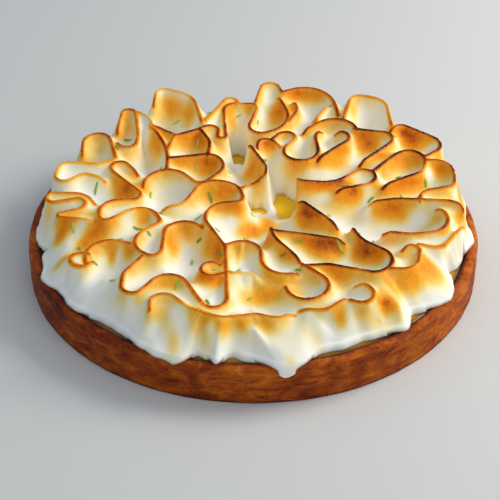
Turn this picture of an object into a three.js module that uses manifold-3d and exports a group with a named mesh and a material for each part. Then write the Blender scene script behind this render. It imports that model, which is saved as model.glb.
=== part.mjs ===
// A lemon meringue pie: a baked tart shell, a disc of lemon curd set just under
// its rim, and a thick layer of meringue pulled up into winding ruffles, with
// thin shreds of lime zest lying on it.
//
// Units are millimetres and Z points up. The origin is the middle of the flat
// underside of the shell, so the pie stands on the plane z = 0. The front of
// the pie faces -Y.

import * as THREE from 'three';
import { mergeVertices } from 'three/addons/utils/BufferGeometryUtils.js';
import Module from 'manifold-3d';

// ---------------------------------------------------------------- dimensions

// Shell: a straight-sided tart ring.
const SHELL_RADIUS = 121;
const SHELL_HEIGHT = 21;
const SHELL_RIM = 6.8;            // thickness of the wall
const SHELL_FLOOR = 4.5;          // thickness of the base
const SHELL_ROUND = 2.6;          // rounding of the rim
const FOOT_ROUND = 1.2;           // rounding of the foot
const RIM_BEVEL = 1.2;            // bevel of the rim's inner edge
const SHELL_RELIEF = 0.5;         // depth of the unevenness baked into the wall
const WALL_LEVELS = [0.3, 0.5, 0.7];   // levels of the wall's points, as parts of its height
// Waves of that unevenness: how many go round, and their shift in radians for each mm up.
const WALL_WAVES = [[7, 1], [17, -0.4], [29, 0.7]];
const DENT_MARGIN = 0.1;          // keeps the flat rim and the underside free of it
const SHELL_SIDES = 72;

// Curd: fills the shell to just under its rim.
const CURD_TOP = 19.6;
const CURD_EDGE = [1.5, 0.5];     // how far its edge falls away, inwards and down
const GAP = 0.3;                  // clearance between pieces that touch

// Meringue: a sheet hung between the crests of its ruffles.
const CREST_HEIGHT = 42;          // height of a crest above the table, at the middle
const CREST_SLOPE = 0.06;         // the crests rise towards the back
const CREST_FADE = 2.5;           // how far a loose end of a crest comes down
const FADE_LENGTH = 5;
const JOINED = 2.5;               // an end nearer than this to another crest isn't loose
const UNEVEN = 0.7;               // unevenness of the crests
const UNEVEN_LENGTH = [9, 11];    // and its length for each radian, along X and Y
const LIFT = 2.5;                 // how much higher some crests are pulled than others
const LIFT_LENGTH = [17, 23];     // the length of that for each radian, along X and Y
const LIFT_SHIFT = 1;             // and its shift along X, in radians
const LEAN = 1.5;                 // how far a crest leans to the front for each mm of lift
const SLUMP = [0.5, 11, 10, 9];   // one place where they have slumped: x, y, reach, depth
const VALLEY_HEIGHT = 23;         // level that the sheet sinks to between crests
const SAG_LENGTH = 6.5;           // how quickly it sinks away from a crest
const SKIRT_HEIGHT = 30;          // fullness of the outer wall of the meringue
const SKIRT_WIDTH = 13;
const SKIRT_MIDDLE = 0.7;         // part of that width at which the wall is fullest
const EDGE_ROUND = 3;             // rounded bead along the lower edge
const EDGE_RADIUS = 113.2;        // where the meringue meets the rim
const DRAPE = 0.22;               // how fast the edge comes down past the rim's shoulder
const DRAPE_MOST = 6.5;
const FOOT_DROP = 2.5;            // thickness of the edge, before it is fitted to its bed
const LOBE_DROP = 0.9;            // the same where a lobe hangs over the shoulder
const LOBE_START = 4;             // an edge starts to be a lobe this far inside the shell's face
const LOBE_LENGTH = 3.5;          // and is one in full this much further out
const FOOT_SLOPE = 0.75;          // slope of the underside inwards from the edge
const FOOT_LOWEST = 12;
const DIP_HELD = 0.75;            // part of a dip's radius that is held down
const DIP_BELOW = 2;              // the sheet tends to a level this far below a dip
const DIP_SLOPE = 0.8;            // and rises from there at this slope
const RING_COUNT = 34;            // rings of the meringue's mesh
const RING_SPREAD = 1.6;          // rings that are left out of the even spacing
const BEAD_RING = 0.45;           // part of the bead's width at which the last ring but one lies
const SNAP_REACH = 0.55;          // a crest crosses a mesh edge when it comes this near to it
const FIELD_STEP = 1.25;          // grid on which the sheet is relaxed
const FIELD_HALF = 130;
const FIELD_ROUNDS = 260;
const SOFT_ROUNDS = 10;           // rounds for which the folds are let go, to stay soft
const ROPE_STEP = 1.0;            // spacing of points along a crest or a fold
const ROPE_SLACK = 0.5;           // how far a rope may turn the wrong way round a peg, in radians

// Zest: short curved strips.
const ZEST_COUNT = 64;
const ZEST_WIDTH = 1.2;
const ZEST_THICKNESS = 0.9;
const ZEST_SUNK = 0.4;
const ZEST_LENGTH = [2.5, 5];     // shortest and longest, seen from above
const ZEST_BEND = 1.6;            // range of their bends, in radians
const ZEST_APART = 10;
const ZEST_REACH = 98;            // no strip lies further out than this
const ZEST_CLEAR = 2.2;           // nor nearer to a crest than this
const ZEST_TRIES = 4000;          // places tried before the search is given up

// The ruffles. Each crest runs like a rope from one point, round some pegs, to
// another. A peg is [x, y, radius]; the rope passes a positive one on its
// right-hand side, so that it turns left, and a negative one on its left-hand
// side, so that it turns right.
const RUFFLES = [
  // back left
  { from: [-57, 88], pegs: [[-51, 97, -5.5], [-49, 84, -16.5]], to: [-29, 70] },
  { from: [-94.5, 40], pegs: [[-87.5, 50.5, -7.8]], to: [-75.5, 35] },
  {
    from: [-76.5, 60],
    pegs: [[-71, 78.5, -4.3], [-69, 56, -5], [-70, 49.5, -5.3]],
    to: [-76, 51],
  },
  { from: [-66, 80], pegs: [[-72, 66, -15]], to: [-57.5, 62.5] },
  { from: [-43, 57], pegs: [[-57.4, 65.6, 0.7], [-102, 32, -55]], to: [-47.3, 24.5] },
  { from: [-43, 57], pegs: [[-31, 59.5, -2.5], [-34, 48, -10]], to: [-25, 37] },
  { from: [-43.7, 56.2], pegs: [], to: [-47.5, 43.5] },
  { from: [-46, 35], pegs: [[-26, 28.5, -9.7], [-29, 17, -4.7], [-46.5, 10, 13]], to: [-59.5, 11] },
  // left
  {
    from: [-80, 16.5],
    pegs: [[-90, 13.5, 6], [-101.5, 18.5, -5.5], [-100, 24, -6.3], [-86.5, 37, 7.7]],
    to: [-77, 33],
  },
  {
    from: [-63, 22],
    pegs: [
      [-72.5, 26.5, 5], [-65, 1.8, -4.8], [-71, -13.5, 10], [-77, -17.3, 3.7], [-59, -20, -9.5],
      [-52.5, -19.8, -3.5], [-50, -38, 11], [-51.5, -45, 4.7], [-36.5, -31, -9.8],
    ],
    to: [-27, -24.5],
  },
  {
    from: [-84, -4],
    pegs: [[-95, -8, 10.5], [-106.2, -0.9, 3.8], [-93, -6, -4.3], [-101, -15.3, 1.8]],
    to: [-83, -20],
  },
  { from: [-62, -40], pegs: [[-73, -50, 12.8]], to: [-86, -54] },
  { from: [-84, -48.6], pegs: [[-88.3, -53.7, 5.2]], to: [-82.9, -53] },
  // middle
  {
    from: [-48, -8.5],
    pegs: [[-45, 3, 11], [-19, 1.5, -13], [-10, -0.5, -4.7], [-13, -18, 12.2]],
    to: [-15, -41],
  },
  { from: [-15, -41], pegs: [[-6, -48, -10], [16.3, -52.8, 12.2]], to: [22, -63] },
  { from: [-2.5, 49], pegs: [[-8, 24, -15.3]], to: [-6, 8] },
  { from: [2.5, 47], pegs: [[7.5, 48.5, -5]], to: [15, 49.5] },
  {
    from: [10.5, 53.5],
    pegs: [[18.5, 55, -5.3], [26.5, 42, 9.5], [44, 54, -9]],
    to: [38.5, 61.5],
  },
  { from: [28, 60.5], pegs: [[46, 60, -12.3]], to: [58.5, 61.5] },
  { from: [46, 59], pegs: [[48.5, 54, -5.3]], to: [35.5, 34] },
  { from: [9.5, -27], pegs: [[36, -24, 27]], to: [24, -54] },
  { from: [10, -28.5], pegs: [], to: [47, -37] },
  { from: [24.6, -2], pegs: [], to: [44, -26] },
  // front left
  {
    from: [-56.5, -50],
    pegs: [[-57.5, -65.5, 8.2], [-60.6, -73.4, 5.5], [-42.3, -75.3, -10.5], [-19.5, -84, 6.5]],
    to: [-14.5, -42],
  },
  { from: [-17, -54.5], pegs: [[-21, -60, 5.5]], to: [-14, -63.5] },
  { from: [-13, -63], pegs: [[-5, -78, -14.5]], to: [2.5, -64.5] },
  {
    from: [-51, -89],
    pegs: [[-44, -85.5, -7], [-24, -81, 11.5], [-13, -77, 20.5], [1.5, -101, -6], [11, -89, 8]],
    to: [19.5, -93.3],
  },
  { from: [23, -90.5], pegs: [[33, -83, 9]], to: [47, -82] },
  { from: [50.9, -71.3], pegs: [[52.6, -78.7, -7.2]], to: [47.8, -84.6] },
  { from: [25, -57], pegs: [[27, -73, -10.8]], to: [16, -72] },
  // right
  { from: [52.5, -25.5], pegs: [[74, -23, 22], [61, -53, -9.5], [38, -67, 11]], to: [25, -58] },
  { from: [76.5, -43.5], pegs: [[81, -45.7, -4.3], [75, -51, -9.5]], to: [69, -60.5] },
  { from: [110, -24], pegs: [[94, -35, -7.5]], to: [85, -40.5] },
  { from: [68, -29.5], pegs: [[83, -8, 24], [91, -20, 11]], to: [97, -9.5] },
  { from: [62, -4.5], pegs: [[78, -23, -21], [102, -14, -10]], to: [111, -10] },
  { from: [24, 18], pegs: [[27.5, 17, 3.3], [37, 35, 21.5], [60, 17, -6.6]], to: [45, 6.5] },
  { from: [65.5, 22], pegs: [[85.5, 32.5, -9], [86, 28.5, -8]], to: [70, 8.5] },
  { from: [95, 32.5], pegs: [[99, 23, -10], [102.5, 15.5, -6.6], [98, -2, 9]], to: [89, -5] },
  { from: [77, 62.5], pegs: [[83.5, 61, -5], [97, 47, -7.5]], to: [95, 36] },
  { from: [57, 62.5], pegs: [[72, 54, -6]], to: [58.5, 30] },
  // back
  { from: [-27, 70.5], pegs: [[-13, 90, -4.2]], to: [-9, 88] },
  {
    from: [-30, 63],
    pegs: [
      [-24.5, 60.5, -5], [-17.4, 55, 2.4], [-10, 82, -6.7], [-2.5, 83, -5], [4.5, 66, 6.8], [4, 76, 16],
    ],
    to: [14.5, 95.5],
  },
  { from: [21, 71], pegs: [[11, 83, 14.3]], to: [23, 91] },
  { from: [1, 86], pegs: [[10, 104, -5.5]], to: [17, 100] },
  { from: [18, 100], pegs: [[30, 87, -17]], to: [48.5, 79] },
  { from: [35, 72], pegs: [], to: [44, 88] },
  { from: [51, 71.5], pegs: [[61.5, 89.5, -6], [65.8, 82.3, -11.2]], to: [78.2, 66] },
];

// Soft folds and creases, each from one point [x, y, z] to another.
const FOLDS = [
  // left
  [[-86, -20, 40], [-105, -34, 27]],
  [[-96, -9, 42], [-108, -13, 28]],
  [[-96, -30, 34], [-104, -43, 25]],
  [[-99, 20, 41], [-109, 16, 27]],
  [[-88, -52, 38], [-93, -62, 27]],
  [[-74, -62, 35], [-78, -76, 26]],
  // front
  [[-61, -83, 36], [-58, -91, 26]],
  [[-39, -91, 37], [-32, -107, 24]],
  [[-22, -102, 37], [-16, -110, 24]],
  [[-1, -102, 36], [13, -118, 22]],
  [[24.7, -91, 38], [38, -102, 26]],
  [[47, -86, 40], [48.5, -102, 25]],
  [[63, -71, 39], [73, -81, 33]],
  [[73, -81, 33], [77, -89, 25]],
  [[86, -43, 40], [101, -48, 27]],
  [[104, -20, 38], [112, -28, 26]],
  [[106, 8, 41], [115, 3, 27]],
  // creases
  [[36, -94, 29], [42, -100, 25]],
  [[57, -88, 26], [70, -86, 26]],
  [[-10, -101, 26], [-2, -107, 24]],
  [[-48, -97, 27], [-44, -107, 23]],
  // inside the lobes
  [[53, -27, 37], [47, -48, 31]],
  [[4, 44, 37], [10, 32, 31]],
  [[8.5, 27, 27], [9.5, 13, 22.5]],
  [[-45, -56, 35], [-36, -68, 31]],
  [[-57, 0, 34], [-52, -14, 31]],
  [[74, 20, 35], [64, 26, 31]],
  [[-66, 72, 36], [-62, 52, 31]],
];

// Where the sheet dips to the curd and leaves it bare: [x, y, radius, height].
const DIPS = [
  [-9.7, 68.8, 6.4, 16.5], [-8.7, 60, 5, 18], [-8.3, 52, 5, 26], [-8.5, 46, 4, 29],
  [0.5, 15.8, 4.2, 16.5], [-2.5, 15.8, 3, 16.5], [4, 17.2, 3, 16.5], [1.5, 9, 4, 22.5], [-2, 8.5, 3.5, 22.5],
  [21, 15.5, 5.5, 16.5], [19, 25, 5.5, 16.5], [14.5, 24, 3.5, 16.5], [16, 30.5, 3.5, 16.5],
];

// Where the lower edge reaches out over the rim: [bearing in degrees from +X,
// reach, half width in degrees].
const TONGUES = [
  [174, 2, 6], [-175.5, 3.8, 7], [-164, 1.8, 2.5], [-156, 6.6, 5], [-143, 3.8, 6], [-119.5, 2.2, 3],
  [-113, 6.9, 5.4], [-107.6, 5.2, 2.8], [-98.9, 5, 1.6], [-82.3, 9, 5], [-77.6, 1.8, 2], [-49.5, 4.8, 3.4],
  [-32.5, 6.6, 5.8], [-6, 5.6, 6], [10, 4.5, 8], [27, 7.2, 13], [52, 3.7, 9], [76, 2.7, 9],
  [98, 3.7, 8], [119, 6.7, 9], [141, 3.2, 9], [163, 3.7, 9],
];
// Where the edge draws back: same form.
const BAYS = [
  [-168.5, 3, 1.5], [-131, 1.5, 4], [-104.5, 3, 1.5], [-95.3, 3, 2.2], [-71.5, 1.5, 4], [-62, 1.8, 3.5],
  [-44, 3, 2.5], [-22, 3.6, 2.3],
];

// ------------------------------------------------------------------- helpers

const wasm = await Module();
wasm.setup();

const TAU = Math.PI * 2;
const radians = (degrees) => degrees * Math.PI / 180;
const clamp01 = (t) => Math.min(1, Math.max(0, t));

/** A repeatable number from 0 to 1 for each whole number and channel. */
function draw(index, channel) {
  const s = Math.sin(index * 12.9898 + channel * 78.233) * 43758.5453;
  return s - Math.floor(s);
}

/** A smooth hump, 1 at the middle and falling off over `width`. */
function hump(distance, width) {
  return Math.exp(-((distance / width) ** 2));
}

/** Difference between two bearings in degrees, from -180 to 180. */
function bearingGap(a, b) {
  return ((a - b + 540) % 360 + 360) % 360 - 180;
}

function solidFrom(geometry) {
  const plain = geometry.clone();
  plain.deleteAttribute('normal');
  plain.deleteAttribute('uv');
  const merged = mergeVertices(plain, 1e-4);
  return new wasm.Manifold(new wasm.Mesh({
    numProp: 3,
    vertProperties: Float32Array.from(merged.attributes.position.array),
    triVerts: Uint32Array.from(merged.index.array),
  }));
}

function geometryFrom(solid) {
  const mesh = solid.getMesh();
  const geometry = new THREE.BufferGeometry();
  geometry.setAttribute('position', new THREE.BufferAttribute(mesh.vertProperties, 3));
  geometry.setIndex(new THREE.BufferAttribute(mesh.triVerts, 1));
  return geometry;
}

/** Turns a profile of [radius, height] pairs round the Z axis. */
function turned(profile, sides) {
  const points = profile.map(([r, z]) => new THREE.Vector2(r, z));
  const geometry = new THREE.LatheGeometry(points, sides);
  geometry.rotateX(Math.PI / 2);
  return geometry;
}

// --------------------------------------------------------------------- shell

function shellProfile() {
  const inner = SHELL_RADIUS - SHELL_RIM;
  const profile = [[0, 0], [SHELL_RADIUS - 2 * SHELL_ROUND, 0]];
  const quarter = (cx, cz, start, steps, round) => {
    for (let i = 0; i <= steps; i += 1) {
      const a = radians(start) + (i / steps) * Math.PI / 2;
      profile.push([cx + round * Math.cos(a), cz + round * Math.sin(a)]);
    }
  };
  quarter(SHELL_RADIUS - FOOT_ROUND, FOOT_ROUND, -90, 2, FOOT_ROUND);
  for (const t of WALL_LEVELS) profile.push([SHELL_RADIUS, SHELL_HEIGHT * t]);
  quarter(SHELL_RADIUS - SHELL_ROUND, SHELL_HEIGHT - SHELL_ROUND, 0, 3, SHELL_ROUND);
  profile.push([inner + RIM_BEVEL, SHELL_HEIGHT], [inner, SHELL_HEIGHT - RIM_BEVEL]);
  profile.push([inner, SHELL_FLOOR], [0, SHELL_FLOOR]);
  return profile;
}

/** The oven leaves shallow waves and dents in the outer wall. */
function shellGeometry() {
  const geometry = turned(shellProfile(), SHELL_SIDES);
  const place = geometry.attributes.position;
  for (let i = 0; i < place.count; i += 1) {
    const x = place.getX(i);
    const y = place.getY(i);
    const z = place.getZ(i);
    const r = Math.hypot(x, y);
    if (r < SHELL_RADIUS - SHELL_ROUND + DENT_MARGIN || z < DENT_MARGIN) continue;
    const a = Math.atan2(y, x);
    let wave = 0;
    for (const [round, shift] of WALL_WAVES) wave += Math.sin(round * a + shift * z);
    const dig = SHELL_RELIEF * (0.5 + wave / (2 * WALL_WAVES.length));
    place.setXY(i, x * (1 - dig / r), y * (1 - dig / r));
  }
  return geometry;
}

// ---------------------------------------------------------------------- curd

function curdGeometry() {
  const radius = SHELL_RADIUS - SHELL_RIM - GAP;
  const low = SHELL_FLOOR + GAP;
  const [inwards, down] = CURD_EDGE;
  return turned(
    [[0, low], [radius, low], [radius, CURD_TOP - down], [radius - inwards, CURD_TOP], [0, CURD_TOP]],
    SHELL_SIDES,
  );
}

// ------------------------------------------------------------------ meringue

/** Points along a rope pulled taut from `from`, round `pegs`, to `to`. */
function rope({ from, pegs, to }) {
  const rounds = [[...from, 0], ...pegs, [...to, 0]];
  const headings = [];
  for (let i = 0; i + 1 < rounds.length; i += 1) {
    const [x1, y1, r1] = rounds[i];
    const [x2, y2, r2] = rounds[i + 1];
    const apart = Math.hypot(x2 - x1, y2 - y1);
    const lean = Math.asin(Math.max(-1, Math.min(1, (r2 - r1) / apart)));
    headings.push(Math.atan2(y2 - y1, x2 - x1) - lean);
  }
  const corner = ([x, y, r], heading) => [x + r * Math.sin(heading), y - r * Math.cos(heading)];
  const corners = [];
  rounds.forEach((round, i) => {
    const into = headings[Math.max(0, i - 1)];
    const out = headings[Math.min(headings.length - 1, i)];
    const r = round[2];
    if (r === 0) {
      corners.push([round[0], round[1]]);
      return;
    }
    let turn = (out - into) % TAU;
    if (r > 0 && turn < -ROPE_SLACK) turn += TAU;
    if (r < 0 && turn > ROPE_SLACK) turn -= TAU;
    const steps = Math.max(1, Math.ceil(Math.abs(turn * r) / ROPE_STEP));
    for (let k = 0; k <= steps; k += 1) corners.push(corner(round, into + (turn * k) / steps));
  });
  return spaced(corners);
}

/** The same path with a point every ROPE_STEP. */
function spaced(corners) {
  const points = [corners[0]];
  for (let i = 1; i < corners.length; i += 1) {
    const [ax, ay] = corners[i - 1];
    const [bx, by] = corners[i];
    const length = Math.hypot(bx - ax, by - ay);
    const steps = Math.ceil(length / ROPE_STEP);
    for (let k = 1; k <= steps; k += 1) {
      points.push([ax + ((bx - ax) * k) / steps, ay + ((by - ay) * k) / steps]);
    }
  }
  return points;
}

function crestHeight(x, y) {
  const [alongX, alongY] = UNEVEN_LENGTH;
  return CREST_HEIGHT + CREST_SLOPE * y + UNEVEN * Math.sin(x / alongX) * Math.sin(y / alongY);
}

/** How much further than that the meringue is pulled up at a place, or has slumped. */
function lift(x, y) {
  const [atX, atY, reach, depth] = SLUMP;
  const [alongX, alongY] = LIFT_LENGTH;
  const slumped = depth * hump(Math.hypot(x - atX, y - atY), reach);
  return LIFT * Math.sin(x / alongX + LIFT_SHIFT) * Math.cos(y / alongY) - slumped;
}

/** Every crest as points [x, y, z]; loose ends come down a little. */
function crestLines() {
  const lines = RUFFLES.map(rope);
  const isLoose = (end, own) => !lines.some((line) => line !== own
    && line.some(([x, y]) => Math.hypot(x - end[0], y - end[1]) < JOINED));
  return lines.map((line) => {
    const looseStart = isLoose(line[0], line);
    const looseEnd = isLoose(line[line.length - 1], line);
    return line.map(([x, y], i) => {
      const fromStart = looseStart ? i * ROPE_STEP : FADE_LENGTH;
      const fromEnd = looseEnd ? (line.length - 1 - i) * ROPE_STEP : FADE_LENGTH;
      const along = clamp01(Math.min(fromStart, fromEnd) / FADE_LENGTH);
      const up = lift(x, y);
      return [x, y - LEAN * up, crestHeight(x, y) + up - CREST_FADE * (1 - along) ** 2];
    });
  });
}

/** Every fold as points [x, y, z]. */
function foldPoints() {
  return FOLDS.flatMap(([from, to]) => {
    const steps = Math.round(Math.hypot(to[0] - from[0], to[1] - from[1], to[2] - from[2]) / ROPE_STEP);
    return Array.from({ length: steps + 1 }, (_, i) => from.map((v, k) => v + ((to[k] - v) * i) / steps));
  });
}

/** How far the meringue reaches at a bearing in radians. */
function edgeRadius(angle) {
  const bearing = angle * 180 / Math.PI;
  let radius = EDGE_RADIUS;
  for (const [at, reach, width] of TONGUES) radius += reach * hump(bearingGap(bearing, at), width);
  for (const [at, reach, width] of BAYS) radius -= reach * hump(bearingGap(bearing, at), width);
  return radius;
}

/** What carries the edge: the flat rim, then its rounded shoulder and the drop outside. */
function ledgeHeight(radius) {
  const past = Math.max(0, radius - (SHELL_RADIUS - SHELL_ROUND));
  return SHELL_HEIGHT - Math.min(past ** 2 * DRAPE, DRAPE_MOST);
}

/** Level of the rounded lower edge, by the distance inwards from it. */
function edgeHeight(inwards, radius) {
  const t = clamp01(inwards / EDGE_ROUND);
  return ledgeHeight(radius) + EDGE_ROUND * Math.sqrt(1 - (1 - t) ** 2);
}

/** The level that the sheet tends to, away from the crests. */
function restHeight(x, y) {
  const inwards = edgeRadius(Math.atan2(y, x)) - Math.hypot(x, y);
  const fullest = SKIRT_WIDTH * SKIRT_MIDDLE;
  let level = VALLEY_HEIGHT;
  level += (SKIRT_HEIGHT - VALLEY_HEIGHT) * hump(inwards - fullest, fullest);
  for (const [dipX, dipY, radius, height] of DIPS) {
    const beyond = Math.max(0, Math.hypot(x - dipX, y - dipY) - radius);
    level = Math.min(level, height - DIP_BELOW + DIP_SLOPE * beyond);
  }
  return level;
}

/** Relaxes a sheet that is held along the crests and along its lower edge. */
function relaxedSheet(lines) {
  const size = Math.round((2 * FIELD_HALF) / FIELD_STEP) + 1;
  const at = (i) => i * FIELD_STEP - FIELD_HALF;
  const level = new Float64Array(size * size);
  const rest = new Float64Array(size * size);
  const held = new Uint8Array(size * size);
  for (let j = 0; j < size; j += 1) {
    for (let i = 0; i < size; i += 1) {
      const k = j * size + i;
      const inwards = edgeRadius(Math.atan2(at(j), at(i))) - Math.hypot(at(i), at(j));
      rest[k] = restHeight(at(i), at(j));
      level[k] = rest[k];
      if (inwards < EDGE_ROUND) {
        held[k] = 1;
        level[k] = edgeHeight(inwards, Math.hypot(at(i), at(j)));
      }
      for (const [x, y, radius, height] of DIPS) {
        if (Math.hypot(at(i) - x, at(j) - y) < DIP_HELD * radius) {
          held[k] = 1;
          level[k] = height;
        }
      }
    }
  }
  const cell = ([x, y]) => Math.round((y + FIELD_HALF) / FIELD_STEP) * size
    + Math.round((x + FIELD_HALF) / FIELD_STEP);
  const folded = new Set();
  for (const point of foldPoints()) {
    const k = cell(point);
    if (held[k] && !folded.has(k)) continue;
    folded.add(k);
    held[k] = 1;
    level[k] = point[2];
  }
  for (const point of lines.flat()) {
    const k = cell(point);
    folded.delete(k);
    held[k] = 1;
    level[k] = point[2];
  }
  const pull = (FIELD_STEP / SAG_LENGTH) ** 2;
  for (let round = 0; round < FIELD_ROUNDS; round += 1) {
    if (round === FIELD_ROUNDS - SOFT_ROUNDS) for (const k of folded) held[k] = 0;
    for (let j = 1; j + 1 < size; j += 1) {
      for (let i = 1; i + 1 < size; i += 1) {
        const k = j * size + i;
        if (held[k]) continue;
        const around = level[k - 1] + level[k + 1] + level[k - size] + level[k + size];
        level[k] = (around + pull * rest[k]) / (4 + pull);
      }
    }
  }
  return (x, y) => {
    const fx = (x + FIELD_HALF) / FIELD_STEP;
    const fy = (y + FIELD_HALF) / FIELD_STEP;
    const i = Math.floor(fx);
    const j = Math.floor(fy);
    const u = fx - i;
    const v = fy - j;
    const k = j * size + i;
    return (1 - v) * ((1 - u) * level[k] + u * level[k + 1])
      + v * ((1 - u) * level[k + size] + u * level[k + size + 1]);
  };
}

/** A disc of rings, ring k with 6k points, as plan points and triangles. */
function ringedDisc() {
  const points = [[0, 0]];
  const ringStart = (k) => (k === 0 ? 0 : 1 + 3 * k * (k - 1));
  for (let k = 1; k <= RING_COUNT; k += 1) {
    for (let j = 0; j < 6 * k; j += 1) {
      const angle = (TAU * j) / (6 * k) - Math.PI;
      const edge = edgeRadius(angle);
      const fromEdge = RING_COUNT - k;
      const spacing = (edge - EDGE_ROUND) / (RING_COUNT - RING_SPREAD);
      const inner = edge - EDGE_ROUND * BEAD_RING - (fromEdge - 1) * spacing;
      const radius = fromEdge === 0 ? edge : inner;
      points.push([Math.max(0, radius) * Math.cos(angle), Math.max(0, radius) * Math.sin(angle)]);
    }
  }
  const triangles = [];
  for (let k = 1; k <= RING_COUNT; k += 1) {
    for (let side = 0; side < 6; side += 1) {
      for (let j = 0; j < k; j += 1) {
        const outer = ringStart(k) + ((side * k + j) % (6 * k));
        const outerNext = ringStart(k) + ((side * k + j + 1) % (6 * k));
        const innerCount = Math.max(1, 6 * (k - 1));
        const inner = ringStart(k - 1) + ((side * (k - 1) + j) % innerCount);
        triangles.push([inner, outer, outerNext]);
        if (j + 1 < k) {
          const innerNext = ringStart(k - 1) + ((side * (k - 1) + j + 1) % innerCount);
          triangles.push([inner, outerNext, innerNext]);
        }
      }
    }
  }
  return { points, triangles, edgeStart: ringStart(RING_COUNT) };
}

/** Moves mesh points onto the crests, so that every crest is an edge of the mesh. */
function snapToCrests(disc, lines) {
  const crestPoints = lines.flat();
  const edges = new Map();
  for (const [a, b, c] of disc.triangles) {
    for (const [p, q] of [[a, b], [b, c], [c, a]]) edges.set(p < q ? `${p},${q}` : `${q},${p}`, [p, q]);
  }
  const snapped = new Map();
  const crossings = [];
  for (const [p, q] of edges.values()) {
    const [ax, ay] = disc.points[p];
    const [bx, by] = disc.points[q];
    const length = Math.hypot(bx - ax, by - ay);
    let best = null;
    for (const [x, y, z] of crestPoints) {
      if (Math.abs(x - ax) > length + 1 || Math.abs(y - ay) > length + 1) continue;
      const t = ((x - ax) * (bx - ax) + (y - ay) * (by - ay)) / (length * length);
      if (t < 0 || t > 1) continue;
      const off = Math.hypot(x - ax - t * (bx - ax), y - ay - t * (by - ay));
      if (off < SNAP_REACH && (!best || off < best.off)) best = { off, t, place: [x, y, z] };
    }
    if (best) crossings.push({ p, q, t: best.t, place: best.place });
  }
  crossings.sort((a, b) => Math.min(a.t, 1 - a.t) - Math.min(b.t, 1 - b.t));
  for (const { p, q, t, place } of crossings) {
    if (snapped.has(p) || snapped.has(q)) continue;
    const point = t < 0.5 ? p : q;
    if (point < disc.edgeStart) snapped.set(point, place);
  }
  return snapped;
}

/** Underside of the meringue before it is fitted: thin at the edge, deep inside. */
function footHeight(x, y) {
  const radius = Math.hypot(x, y);
  const edge = edgeRadius(Math.atan2(y, x));
  const over = clamp01((edge - (SHELL_RADIUS - LOBE_START)) / LOBE_LENGTH);
  const drop = FOOT_DROP + (LOBE_DROP - FOOT_DROP) * over * over * (3 - 2 * over);
  return Math.max(FOOT_LOWEST, ledgeHeight(edge) - drop - FOOT_SLOPE * Math.max(0, edge - radius));
}

/** The closed solid between the sheet and its underside. */
function sheetGeometry(disc, lines, sheet) {
  const snapped = snapToCrests(disc, lines);
  const place = [];
  disc.points.forEach(([x, y], i) => {
    const crest = snapped.get(i);
    if (crest) place.push(...crest);
    else if (i >= disc.edgeStart) place.push(x, y, ledgeHeight(Math.hypot(x, y)));
    else place.push(x, y, sheet(x, y));
  });
  const count = disc.points.length;
  for (let i = 0; i < count; i += 1) {
    place.push(place[3 * i], place[3 * i + 1], footHeight(place[3 * i], place[3 * i + 1]));
  }
  const index = [];
  for (const [a, b, c] of disc.triangles) index.push(a, b, c, a + count, c + count, b + count);
  const rimCount = count - disc.edgeStart;
  for (let j = 0; j < rimCount; j += 1) {
    const a = disc.edgeStart + j;
    const b = disc.edgeStart + ((j + 1) % rimCount);
    index.push(a, a + count, b, b, a + count, b + count);
  }
  const geometry = new THREE.BufferGeometry();
  geometry.setAttribute('position', new THREE.Float32BufferAttribute(place, 3));
  geometry.setIndex(index);
  return geometry;
}

/** What the meringue rests on, GAP proud of the shell and the curd. */
function bedGeometry() {
  const inner = SHELL_RADIUS - SHELL_RIM - GAP;
  const top = SHELL_HEIGHT + GAP;
  const outer = SHELL_RADIUS + GAP;
  const profile = [[0, -1], [outer, -1]];
  for (let i = 0; i <= 4; i += 1) {
    const a = (i / 4) * Math.PI / 2;
    profile.push([
      outer - SHELL_ROUND + SHELL_ROUND * Math.cos(a),
      top - SHELL_ROUND + SHELL_ROUND * Math.sin(a),
    ]);
  }
  profile.push([inner, top], [inner, CURD_TOP + GAP], [0, CURD_TOP + GAP]);
  return turned(profile, SHELL_SIDES);
}

/** Height of a mesh's upper side over a plan point. */
function topOf(geometry) {
  const place = geometry.attributes.position.array;
  const index = geometry.index.array;
  return (x, y) => {
    let top = -Infinity;
    for (let t = 0; t < index.length; t += 3) {
      const a = 3 * index[t];
      const b = 3 * index[t + 1];
      const c = 3 * index[t + 2];
      const area = (place[b] - place[a]) * (place[c + 1] - place[a + 1])
        - (place[c] - place[a]) * (place[b + 1] - place[a + 1]);
      if (area <= 1e-9) continue;
      const v = ((x - place[a]) * (place[c + 1] - place[a + 1])
        - (place[c] - place[a]) * (y - place[a + 1])) / area;
      const w = ((place[b] - place[a]) * (y - place[a + 1])
        - (x - place[a]) * (place[b + 1] - place[a + 1])) / area;
      if (v < 0 || w < 0 || v + w > 1) continue;
      top = Math.max(top, place[a + 2] * (1 - v - w) + place[b + 2] * v + place[c + 2] * w);
    }
    return top;
  };
}

// ---------------------------------------------------------------------- zest

/** Places for the strips: spread out, beside the crests and well inside the edge. */
function zestPlaces(crestPoints) {
  const places = [];
  for (let i = 1; places.length < ZEST_COUNT && i < ZEST_TRIES; i += 1) {
    const x = (2 * draw(i, 1) - 1) * ZEST_REACH;
    const y = (2 * draw(i, 2) - 1) * ZEST_REACH;
    if (Math.hypot(x, y) > ZEST_REACH) continue;
    if (places.some((p) => Math.hypot(p.x - x, p.y - y) < ZEST_APART)) continue;
    if (crestPoints.some((p) => Math.hypot(p[0] - x, p[1] - y) < ZEST_CLEAR)) continue;
    if (DIPS.some((dip) => Math.hypot(dip[0] - x, dip[1] - y) < dip[2] + ZEST_CLEAR)) continue;
    const length = ZEST_LENGTH[0] + (ZEST_LENGTH[1] - ZEST_LENGTH[0]) * draw(i, 3);
    places.push({ x, y, length, heading: Math.PI * draw(i, 4), bend: (draw(i, 5) - 0.5) * ZEST_BEND });
  }
  return places;
}

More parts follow.
